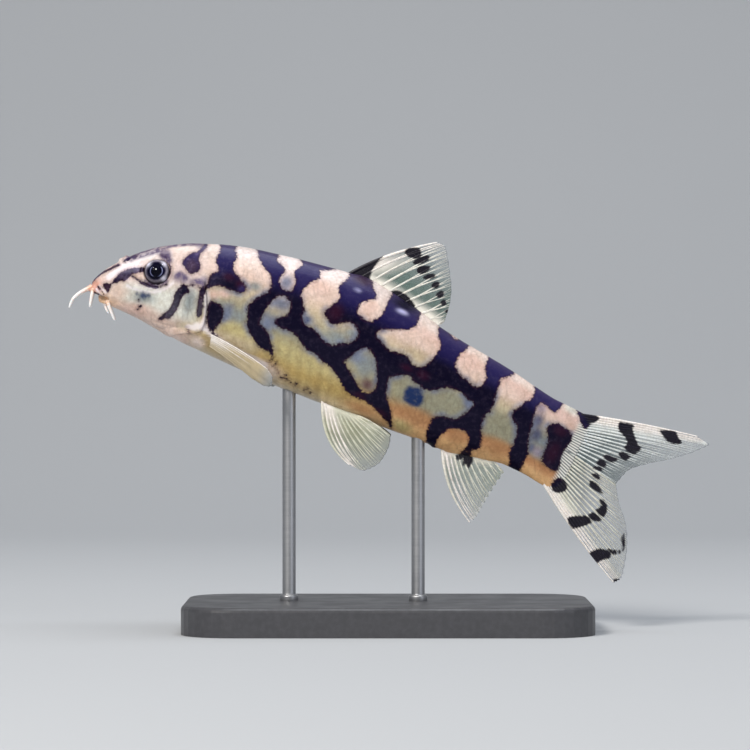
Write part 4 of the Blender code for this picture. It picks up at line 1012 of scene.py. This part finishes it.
def buildEye(side, word):
    bm = bmesh.new()
    spunMesh(bm, eye["ball"], eye["turns"])
    dome = bmesh.new()
    spunMesh(dome, eye["dome"], eye["turns"])
    joinMesh(bm, meshFrom(dome, "dome"))
    mesh = meshFrom(bm, "eye" + word)
    places = meshPoints(mesh)
    radius = np.hypot(places[:, 0], places[:, 1])
    giveAttribute(mesh, "ringPlace", radius / eye["rim"])
    mesh.transform(eyePlace(side) @ Matrix.Scale(mm, 4))
    seen = (meshPoints(mesh) - np.array(eyePlace(side).translation)) / mm
    # painted highlights on the outer ring
    ring, turns = eye["glints"]
    glint = sum(np.exp(-((seen[:, 0] - ring * math.cos(a)) ** 2 + (seen[:, 2] - ring * math.sin(a)) ** 2) / 0.2)
                for a in turns)
    giveAttribute(mesh, "sine", seen[:, 2] / np.maximum(radius, 0.2))
    giveAttribute(mesh, "glint", np.clip(glint, 0, 1) * (radius > 1.4))
    # lit: how far each point faces the light, for the eye's painted shade
    giveAttribute(mesh, "lit", smoothStep(-2.2, 1.6, seen @ np.array(eye["light"])))
    addPiece("eye" + word, mesh, [irisFinish, corneaFinish], ("eye_" + word.lower(),))


irisFinish, corneaFinish = eyeMaterial(), domeMaterial()
buildEye(1, "Left")
buildEye(-1, "Right")
print("eyes: done")


# Fins: a thin clear membrane with forked rays lying in it

# Places are back, height and out in mm, root and edge from the front to the rear. The bow is that of the first
# and the last ray, and "leading" the number of stout rays, below zero where they end the row. The flesh covers
# the root, and the first ray up to fleshFront, as shares of the fin's length.
fins = {
    "dorsal": {
        "nodes": ("dorsal_fin",),
        "rays": 11, "rayRoot": 0.25, "leading": 1, "bow": (0.6, -0.3), "curl": 0.5, "notch": 0.1,
        "root": ((42.2, 11.9, 0), (50, 10.7, 0), (57.6, 9.3, 0)),
        "edge": ((52.6, 22.42, 0), (53.7, 22.5, 0), (54.9, 21.0, 0), (56.3, 18.7, 0), (57.7, 16.2, 0),
                 (58.6, 13.4, 0), (59, 10.6, 0)),
        "flesh": (0.05, 0.18), "fleshFront": 0.42, "alpha": 0.55,
        "tone": (236, 232, 222), "clear": (72, 104, 92),
    },
    "anal": {
        "nodes": ("anal_fin",),
        "rays": 11, "rayRoot": 0.2, "leading": 2, "bow": (1.3, -0.2), "curl": 0.4, "notch": 0.55,
        "root": ((68.7, -9.5, 0), (71.8, -8.4, 0), (76.2, -7.3, 0)),
        "edge": ((78.2, -18.6, 0), (78.8, -17.2, 0), (78.9, -15.4, 0), (79, -13.2, 0), (79.2, -10.8, 0),
                 (79.5, -8.3, 0)),
        "flesh": (0.02, 0.14), "fleshFront": 0.1, "alpha": 0.45,
        "tone": (232, 230, 216), "clear": (134, 146, 132),
    },
    "pelvic": {
        "nodes": ("pelvic_fin_left", "pelvic_fin_right"),
        "rays": 12, "rayRoot": 0.2, "leading": 2, "bow": (1.8, -0.4), "curl": 0.4, "notch": 0.12,
        "root": ((46, -10.7, 2.1), (49.3, -10.8, 2.1), (52.6, -10.6, 2)),
        "edge": ((54.8, -18.6, 4.4), (56.8, -18.6, 4.7), (58.5, -17.4, 5), (59.5, -15.6, 5), (59.7, -13.4, 4.9),
                 (59.1, -11.1, 4.5)),
        "flesh": (0.02, 0.16), "fleshFront": 0.2, "alpha": 0.72,
        "tone": (208, 208, 190), "clear": (148, 152, 126),
    },
    "pectoral": {
        "nodes": ("pectoral_fin_left", "pectoral_fin_right"),
        "rays": 9, "rayRoot": 0.11, "leading": 2, "bow": (0.4, 0.2), "curl": 0.4, "notch": 0.1,
        "root": ((20.5, -5.5, 4.3), (20.8, -6.3, 3.85), (21.0, -7.1, 3.2)),
        "edge": ((34.4, -8.5, 7.3), (35.7, -9.4, 7.3), (36, -10.8, 6.9), (34.4, -11.4, 6.3), (32, -11, 5.7)),
        "flesh": (0.1, 0.5), "fleshFront": 0.3, "alpha": 0.97, "fade": (0.82, 1.12),
        "tone": (206, 190, 160), "clear": (186, 170, 138),
    },
    "tailUpper": {
        "nodes": ("tail_fin_upper",),
        "rays": 17, "rayRoot": 0.2, "leading": 3, "bow": (0.35, 0.0), "curl": 0.4, "notch": 0.08,
        "root": ((86.2, 6.2, 0), (87, 3.2, 0), (87.2, 0, 0)),
        "edge": ((107.2, 12.2, 0), (109.5, 11.8, 0), (108, 9.9, 0), (104.8, 6.8, 0), (101.3, 4.1, 0),
                 (98.7, 1.4, 0), (97.9, -1.5, 0)),
        "flesh": (0.0, 0.05), "fleshFront": 0.75, "alpha": 0.66,
        "tone": (234, 238, 236), "clear": (82, 98, 100),
    },
    "tailLower": {
        "nodes": ("tail_fin_lower",),
        "rays": 17, "rayRoot": 0.2, "leading": -3, "bow": (0, -0.5), "curl": -0.4, "notch": 0.08,
        "root": ((87.2, 0, 0), (87, -3.6, 0), (86.4, -6.7, 0)),
        "edge": ((98, -1.6, 0), (99.6, -3.8, 0), (103, -7.5, 0), (105, -11.8, 0), (105.8, -15.4, 0),
                 (105, -16.9, 0)),
        "flesh": (0.0, 0.05), "fleshFront": 0.95, "alpha": 0.66,
        "tone": (230, 228, 214), "clear": (98, 106, 98),
    },
}
finParts = {
    "columns": 6, "rows": 26, "membrane": 0.1, "rootThick": 0.42,
    "sunk": 1.2,  # how deep the fin starts in the body
    # where the rays fork and how wide, and the points along a whole ray, a stem and a branch
    "fork": (0.42, 0.72), "spread": (0.25, 0.11), "steps": (24, 12, 8),
    "thinning": (40, 20, 0.35),  # how fast the membrane thins to the outer rays and to the edge, and the least
    # distances from the first ray over which the flesh and the pale rim on it fade, in mm
    "frontReach": (3.2, 0.6), "rimReach": (1.6, 0.3), "rimTone": (248, 240, 234), "farClear": (164, 170, 176),
    "markGrowth": {"tail": 0.14, "other": 0.08},  # how far the dark spots are widened, in mm
}


def finSurface(fin, across, reach):
    # body coordinates on the middle of the fin: across from the front ray to the last, reach from root to edge
    across, reach = np.asarray(across, float), np.asarray(reach, float)[:, None]
    roots = curveThrough(fin["root"])(across * (len(fin["root"]) - 1))
    tips = curveThrough(fin["edge"])(across * (len(fin["edge"]) - 1))
    along = (tips - roots) / np.linalg.norm(tips - roots, axis=1)[:, None]
    first, front, rear = (np.array(p, float) for p in (fin["root"][0], fin["edge"][0], fin["edge"][-1]))
    normal = np.cross(rear - front, front - first)
    normal /= np.linalg.norm(normal)
    start = roots - along * finParts["sunk"]
    share = across[:, None]
    bow = fin["bow"][0] + (fin["bow"][1] - fin["bow"][0]) * share
    place = start + (tips - start) * reach + np.cross(normal, along) * bow * 4 * reach * (1 - reach)
    return place + normal * fin["curl"] * np.sin(1.5 * math.pi * share) * reach ** 2, normal


def finReach(fin, places):
    # distance from the fin's root line in mm
    root = curveThrough(fin["root"])(np.linspace(0, len(fin["root"]) - 1, 12))
    return lineDistance(places, root)[0]


def addMembrane(bm, fin, side):
    count = (fin["rays"] - 1) * finParts["columns"]
    bmesh.ops.create_grid(bm, x_segments=count, y_segments=finParts["rows"], size=1)
    sheet = np.array([v.co for v in bm.verts])
    across, reach = (sheet[:, 0] + 1) / 2, (sheet[:, 1] + 1) / 2
    between = np.sin(across * (fin["rays"] - 1) * math.pi) ** 2
    middle, normal = finSurface(fin, across, reach * (1 - between * 0.1 * fin["notch"]))
    thick = finParts["membrane"] + (finParts["rootThick"] - finParts["membrane"]) * smoothStep(0.3, 0.0, reach)
    sides, outer, least = finParts["thinning"]
    edge = np.minimum(np.minimum(across, 1 - across) * sides, (1 - reach) * outer)
    offset = normal * (thick / 2 * np.clip(edge, least, 1))[:, None]
    first = list(bm.verts)
    rim = [e for e in bm.edges if e.is_boundary]
    other = bmesh.ops.duplicate(bm, geom=bm.verts[:] + bm.edges[:] + bm.faces[:])
    second = [other["vert_map"][v] for v in first]
    for verts, places in ((first, middle + offset), (second, middle - offset)):
        places[:, 2] *= side
        for vert, place in zip(verts, toWorld(places)):
            vert.co = place
    bmesh.ops.bridge_loops(bm, edges=rim + [other["edge_map"][e] for e in rim])
    bmesh.ops.recalc_face_normals(bm, faces=bm.faces)


def rayWays(fin):
    # the way and radius of every ray and its branches, as across, reach, radius
    count, spread, fork = fin["rays"] - 1, finParts["spread"], finParts["fork"]
    whole, stem, branch = finParts["steps"]
    ways = []
    for i in range(fin["rays"]):
        rank = i if fin["leading"] > 0 else count - i
        stout = 1.35 if rank < abs(fin["leading"]) else 1.0
        stout = fin["rayRoot"] * stout * (1 + 0.16 * math.sin(2.4 * i + 1))
        if rank == 0:
            line = np.linspace(0, 0.99, whole)
            ways.append((np.full(whole, i), line, stout * (1 - 0.62 * line)))
            continue
        line = np.linspace(0, fork[0], stem)
        ways.append((np.full(stem, i), line, stout * (1 - 0.5 * line)))
        t = np.linspace(0, 1, branch)
        for a in (-1, 1):
            middle = i + a * spread[0] * 0.75 * t
            line = fork[0] + (fork[1] - fork[0]) * t
            ways.append((middle, line, stout * (0.62 - 0.2 * t)))
            for b in (-1, 1):
                tips = middle[-1] + (a * spread[0] * 0.25 + b * spread[1]) * t
                line = fork[1] + (0.985 - fork[1]) * t
                ways.append((tips, line, stout * (0.42 - 0.24 * t)))
    return [(np.clip(a / count, 0, 1), line, radius) for a, line, radius in ways]


def tubeMesh(ways, resolution=1):
    # round tubes along ways of world points in metres with radii in mm
    curve = bpy.data.curves.new("tubes", "CURVE")
    curve.dimensions, curve.use_fill_caps = "3D", True
    curve.bevel_depth, curve.bevel_resolution = mm, resolution
    for places, radii in ways:
        spline = curve.splines.new("POLY")
        spline.points.add(len(places) - 1)
        spline.points.foreach_set("co", np.column_stack([places, np.ones(len(places))]).ravel())
        spline.points.foreach_set("radius", radii)
    holder = bpy.data.objects.new("tubes", curve)
    scene.collection.objects.link(holder)
    mesh = bpy.data.meshes.new_from_object(holder.evaluated_get(bpy.context.evaluated_depsgraph_get()))
    bpy.data.objects.remove(holder)
    bpy.data.curves.remove(curve)
    return mesh


def finInk(tree, scale, less, limits):
    # the dark spots, with frayed edges
    ink = maths(tree, "SUBTRACT", attributeOf(tree, "ink"), less)
    return ramp(tree, maths(tree, "MULTIPLY_ADD", speckle(tree, scale, 3), 0.3, ink), *limits)


def membraneMaterial():
    material, tree, shader = newMaterial("finMembrane", {
        "Specular IOR Level": 0.3, "Coat Weight": 0.1, "Coat Roughness": 0.2,
    })
    ink = finInk(tree, 2400, 0.15, (-0.18, 0.22))
    cover = attributeOf(tree, "cover")
    thin = mixColour(tree, cover, attributeOf(tree, "clear", "Color"), attributeOf(tree, "tone", "Color"))
    thin = stain(tree, blotches(tree, (900, 4), (0.35, 0.75, 0.0, 0.2)), thin, (170, 165, 150))
    tree.links.new(mixColour(tree, ink, thin, plain(17, 13, 26)), shader.inputs["Base Color"])
    # flesh and ink hide what is behind, the bare membrane lets most of it through
    share = maths(tree, "MAXIMUM", cover, maths(tree, "MULTIPLY", ink, 0.92))
    share = maths(tree, "MAXIMUM", share, attributeOf(tree, "veil"))
    share = maths(tree, "ADD", share, blotches(tree, (700, 2), (0.3, 0.7, -0.05, 0.05)))
    tree.links.new(addNode(tree, "Clamp", {"Value": share}).outputs[0], shader.inputs["Alpha"])
    tree.links.new(ramp(tree, cover, 0, 1, 0.3, 0.45), shader.inputs["Roughness"])
    roughen(tree, shader, speckle(tree, 3200, 3), 0.03, 0.5)
    return material


def rayMaterial():
    material, tree, shader = newMaterial("finRays", {
        "Roughness": 0.38, "Specular IOR Level": 0.35, "Coat Weight": 0.1, "Coat Roughness": 0.2,
        "Subsurface Weight": 0.2, "Subsurface Radius": (0.6, 0.5, 0.4), "Subsurface Scale": 0.0008,
    })
    ink = finInk(tree, 2600, 0.3, (-0.15, 0.15))
    joint = maths(tree, "PINGPONG", attributeOf(tree, "reach"), 0.27)
    joints = ramp(tree, joint, 0.0, 0.07, 0.22, 0.0)
    shade = mixColour(tree, joints, attributeOf(tree, "tone", "Color"), plain(140, 136, 140))
    shade = stain(tree, blotches(tree, (1500, 3), (0.35, 0.7, 0.0, 0.25)), shade, (170, 160, 140))
    tree.links.new(mixColour(tree, ink, shade, plain(22, 17, 32)), shader.inputs["Base Color"])
    roughen(tree, shader, joint, 0.05, 0.4)
    return material


def paintFin(mesh, name, fin, places):
    # dark spots, flesh at the root and the first ray, and how clear the rest is
    kind = "tail" if "tail" in name else name
    ink = np.full(len(places), -1.0)
    for outline in finMarks.get(kind, ()):
        ink = np.maximum(ink, depthInside(places[:, :2], outline))
    giveAttribute(mesh, "ink", ink + finParts["markGrowth"].get(kind, finParts["markGrowth"]["other"]))
    reach = finReach(fin, places)
    giveAttribute(mesh, "reach", reach)
    share = reach / np.linalg.norm(np.array(fin["edge"][0]) - fin["root"][0])
    end = 0 if fin["leading"] > 0 else -1
    fromLead = lineDistance(places, np.array((fin["root"][end], fin["edge"][end]), float))[0]
    front = smoothStep(*finParts["frontReach"], fromLead)
    front = front * smoothStep(fin["fleshFront"] + 0.2, fin["fleshFront"] - 0.2, share)
    giveAttribute(mesh, "cover", np.maximum(smoothStep(fin["flesh"][1], fin["flesh"][0], share), front * 0.9))
    fade = smoothStep(*fin.get("fade", (0.15, 0.95)), share)
    giveAttribute(mesh, "veil", fin["alpha"] * (1 - 0.45 * fade))
    rim, fade = smoothStep(*finParts["rimReach"], fromLead)[:, None], fade[:, None]
    giveAttribute(mesh, "tone", colour(*fin["tone"]) * (1 - rim) + colour(*finParts["rimTone"]) * rim)
    giveAttribute(mesh, "clear", colour(*fin["clear"]) * (1 - fade) + colour(*finParts["farClear"]) * fade)


def buildFin(name, fin, side, word, node):
    bm = bmesh.new()
    addMembrane(bm, fin, side)
    ways = []
    for across, reach, radius in rayWays(fin):
        places = finSurface(fin, across, reach)[0]
        places[:, 2] *= side
        ways.append((toWorld(places), radius))
    joinMesh(bm, tubeMesh(ways))
    bmesh.ops.recalc_face_normals(bm, faces=bm.faces)
    mesh = meshFrom(bm, name + word)
    places = toBody(meshPoints(mesh))
    places[:, 2] *= side
    paintFin(mesh, name, fin, places)
    addPiece(name + word, mesh, [membraneFinish, rayFinish], (node,))


membraneFinish, rayFinish = membraneMaterial(), rayMaterial()
for name, fin in fins.items():
    words = ("Left", "Right") if len(fin["nodes"]) == 2 else ("Fin",)
    for side, word, node in zip((1, -1), words, fin["nodes"]):
        buildFin(name, fin, side, word, node)
print("fins: done")


# Feelers round the mouth: CAD node, radius in mm, warmth of the root, way as back, height and out

feelers = {
    "snoutFront": ("barbel_snout_front", 0.42, 1.0, ((0.2, 0, 0.6), (-1.7, -0.75, 0.95), (-3.25, -1.95, 1.15),
                                                     (-3.9, -3.3, 1.15))),
    "snoutRear": ("barbel_snout_rear", 0.38, 0.8, ((0.5, -0.45, 1.2), (0.1, -1.5, 1.65), (-0.15, -2.5, 1.85),
                                                   (-0.4, -3.45, 1.9))),
    "mouthCorner": ("barbel_mouth", 0.38, 0.3, ((2.9, -2.6, 1.75), (3.2, -3.6, 2.15), (3.7, -4.8, 2.25),
                                                (4.2, -5.9, 2.15))),
    "chin": ("barbel_chin", 0.32, 0.3, ((2.4, -3.0, 0.5), (2.5, -3.6, 0.62), (2.7, -4.15, 0.68),
                                        (3.0, -4.6, 0.68))),
}


def feelerMaterial():
    material, tree, shader = newMaterial("feelerSkin", {
        "Roughness": 0.35, "Coat Weight": 0.4, "Coat Roughness": 0.15, "Subsurface Weight": 0.25,
        "Subsurface Radius": (0.8, 0.5, 0.4), "Subsurface Scale": 0.0008,
    })
    share = maths(tree, "ADD", attributeOf(tree, "reach"), blotches(tree, (2000, 3), (0.3, 0.7, -0.12, 0.12)))
    root = mixColour(tree, attributeOf(tree, "warmth"), plain(236, 206, 176), plain(234, 174, 146))
    shade = mixColour(tree, ramp(tree, share, 0.06, 0.34), root, plain(240, 228, 222))
    shade = mixColour(tree, ramp(tree, share, 0.3, 1.0, 0.0, 0.7), shade, plain(246, 246, 246))
    tree.links.new(shade, shader.inputs["Base Color"])
    roughen(tree, shader, speckle(tree, 4200, 3), 0.03, 0.6)
    return material


def buildFeeler(name, node, radius, warmth, way, side, word):
    # thick at the root, slender towards a round tip
    t = np.linspace(0, 3, 30)
    places = curveThrough(np.array(way, float) * (1, 1, side))(t)
    radii = radius * (1 - 0.52 * (t / 3) ** 0.8) * (1 + 0.35 * np.exp(-(t / 0.35) ** 2))
    radii[-4:] *= (0.98, 0.9, 0.7, 0.35)
    mesh = tubeMesh([(toWorld(places), radii)], 3)
    far = np.linalg.norm(meshPoints(mesh) - toWorld(places[:1])[0], axis=1)
    giveAttribute(mesh, "reach", far / far.max())
    giveAttribute(mesh, "warmth", np.full(len(far), warmth))
    addPiece(name + word, mesh, [feelerFinish], (node + "_" + word.lower(),))


feelerFinish = feelerMaterial()
for name, settings in feelers.items():
    for side, word in ((1, "Left"), (-1, "Right")):
        buildFeeler(name, *settings, side, word)
print("feelers: done")


# Display stand: the CAD base with a satin finish, turned rods

# mm: the rod's radius, the base's top, radius and height of the collar on it, rounding of the edges
rods = {"radius": 1.15, "foot": 4.9, "collar": (1.6, 1.1), "rounding": 0.09}


def satinMaterial():
    material, tree, shader = newMaterial("satinBase", {"Coat Weight": 0.12, "Coat Roughness": 0.3})
    shade = mixColour(tree, blotches(tree, (900, 4, 0.6), (0.35, 0.7)), plain(62, 62, 66), plain(70, 70, 74))
    tree.links.new(shade, shader.inputs["Base Color"])
    tree.links.new(blotches(tree, (160, 3), (0.3, 0.7, 0.38, 0.5)), shader.inputs["Roughness"])
    roughen(tree, shader, speckle(tree, 2600, 3), 0.02, 0.5)
    return material


def steelMaterial():
    material, tree, shader = newMaterial("turnedSteel", {"Metallic": 1.0})
    turned = speckle(tree, 260, 3, 0.5, (1, 1, 14))
    shade = mixColour(tree, turned, plain(176, 177, 180), plain(196, 196, 198))
    tree.links.new(shade, shader.inputs["Base Color"])
    tree.links.new(ramp(tree, turned, 0.3, 0.7, 0.4, 0.46), shader.inputs["Roughness"])
    roughen(tree, shader, turned, 0.004, 0.3)
    return material


def buildRod(name, node):
    # a rod from a few rim points turned round its axis, on the CAD rod's own place
    low, high = (np.array(corner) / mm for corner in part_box(node))
    middle = (low + high) / 2
    radius, foot, (wide, tall) = rods["radius"], rods["foot"], rods["collar"]
    profile = [(0, low[2]), (radius, low[2]), (radius, foot), (wide, foot + 0.05), (wide, foot + tall * 0.8),
               (wide - 0.2, foot + tall), (radius, foot + tall + 0.1), (radius, high[2] - 0.4),
               (radius - 0.3, high[2]), (0, high[2])]
    bm = bmesh.new()
    spunMesh(bm, profile, 72)
    sharp = [e for e in bm.edges if e.calc_face_angle(0) > 0.6]
    bmesh.ops.bevel(bm, geom=sharp, offset=rods["rounding"], offset_type="OFFSET", segments=3, profile=0.5,
                    affect="EDGES", material=-1)
    mesh = meshFrom(bm, name)
    mesh.transform(Matrix.Scale(mm, 4) @ Matrix.Translation((middle[0], middle[1], 0)))
    addPiece(name, mesh, [steelFinish], (node,))


steelFinish = steelMaterial()
buildRod("rodFront", "stand_rod_front")
buildRod("rodRear", "stand_rod_rear")
for slot in bpy.data.objects["stand_base"].material_slots:
    slot.material = satinMaterial()
print("stand: done")


# Plain studio: one pale sweep, soft lamps, the photograph's side view

studio = {
    # metres; the paper is painted paler between the last two distances, as painted light
    "sweep": {"wide": 7, "front": -5.0, "back": 0.85, "high": 2.2, "bend": 0.5, "paler": (0.9, 2.6)},
    "tone": (188, 190, 193),
    "paintedFarLight": (250, 251, 252),
    "world": ((226, 232, 240), 0.26),
    # place in metres, width and height, watts, colour, spread in degrees
    "lamps": {
        "key": ((-0.38, -0.55, 0.66), 0.32, 0.26, 6.3, (255, 251, 244), 180),
        "overhead": ((0.1, 0.05, 0.8), 0.6, 0.4, 3.4, (246, 250, 255), 180),
        "side": ((0.7, -0.6, 0.35), 0.4, 0.5, 1.0, (240, 245, 255), 180),
        "low": ((-0.12, -0.8, 0.06), 0.5, 0.12, 0.15, (255, 250, 244), 50),
    },
    "target": (0, 0, 0.045),  # what the lamps are turned to
    # place in metres, width of the view at the fish, film width in mm
    "camera": ((-0.00221, -0.6, 0.0438), 0.129, 36.0),
}


def buildSweep():
    size = studio["sweep"]
    bm = bmesh.new()
    profile = ((size["front"], 0), (size["back"], 0), (size["back"], size["high"]))
    ends = [bm.verts.new((-size["wide"] / 2, y, z)) for y, z in profile]
    edges = [bm.edges.new(pair) for pair in zip(ends, ends[1:])]
    grown = bmesh.ops.extrude_edge_only(bm, edges=edges)["geom"]
    moved = [v for v in grown if isinstance(v, bmesh.types.BMVert)]
    bmesh.ops.translate(bm, verts=moved, vec=(size["wide"], 0, 0))
    crease = [e for e in bm.edges if len(e.link_faces) == 2]
    bmesh.ops.bevel(bm, geom=crease, offset=size["bend"], offset_type="OFFSET", segments=24, profile=0.5,
                    affect="EDGES", material=-1)
    bmesh.ops.recalc_face_normals(bm, faces=bm.faces)
    if bm.faces[0].normal.z < 0:
        bmesh.ops.reverse_faces(bm, faces=bm.faces)
    mesh = meshFrom(bm, "studioSweep")
    mesh.shade_smooth()
    material, tree, shader = newMaterial("palePaper", {"Specular IOR Level": 0.0})
    tone = studio["tone"]
    shade = mixColour(tree, speckle(tree, 6, 2), plain(*tone), plain(*(c - 3 for c in tone)))
    # painted light: the paper is coloured paler far out, where no lamp reaches it
    where = addNode(tree, "TexCoord").outputs["Object"]
    far = addNode(tree, "VectorMath", {0: where}, operation="LENGTH").outputs["Value"]
    shade = mixColour(tree, ramp(tree, far, *size["paler"]), shade, plain(*studio["paintedFarLight"]))
    tree.links.new(shade, shader.inputs["Base Color"])
    tree.links.new(blotches(tree, (30, 2), (0, 1, 0.75, 0.85)), shader.inputs["Roughness"])
    mesh.materials.append(material)
    sweep = bpy.data.objects.new("studioSweep", mesh)
    scene.collection.objects.link(sweep)


def aim(thing, target):
    thing.rotation_euler = (Vector(target) - thing.location).to_track_quat("-Z", "Y").to_euler()


buildSweep()
for name, (place, wide, high, power, tint, spread) in studio["lamps"].items():
    lamp = bpy.data.lights.new(name, "AREA")
    lamp.shape, lamp.size, lamp.size_y, lamp.energy, lamp.color = "RECTANGLE", wide, high, power, colour(*tint)
    lamp.spread = math.radians(spread)
    lampObject = bpy.data.objects.new(name, lamp)
    lampObject.location = place
    lampObject.visible_camera = False
    lampObject.visible_glossy = name != "low"  # this one only lifts the shade under the belly
    aim(lampObject, studio["target"])
    scene.collection.objects.link(lampObject)

world = bpy.data.worlds.new("softRoom")
world.use_nodes = True
tint, strength = studio["world"]
background = world.node_tree.nodes["Background"].inputs
background["Color"].default_value, background["Strength"].default_value = plain(*tint), strength
scene.world = world
scene.view_settings.view_transform = "Standard"

place, across, film = studio["camera"]
lens = bpy.data.cameras.new("sideCamera")
lens.sensor_width = film
lens.lens = film * abs(place[1]) / across
lens.clip_start, lens.clip_end = 0.01, 20
camera = bpy.data.objects.new("sideCamera", lens)
camera.location = place
camera.rotation_euler = (math.radians(90), 0, 0)
scene.collection.objects.link(camera)
scene.camera = camera
print("studio: done")
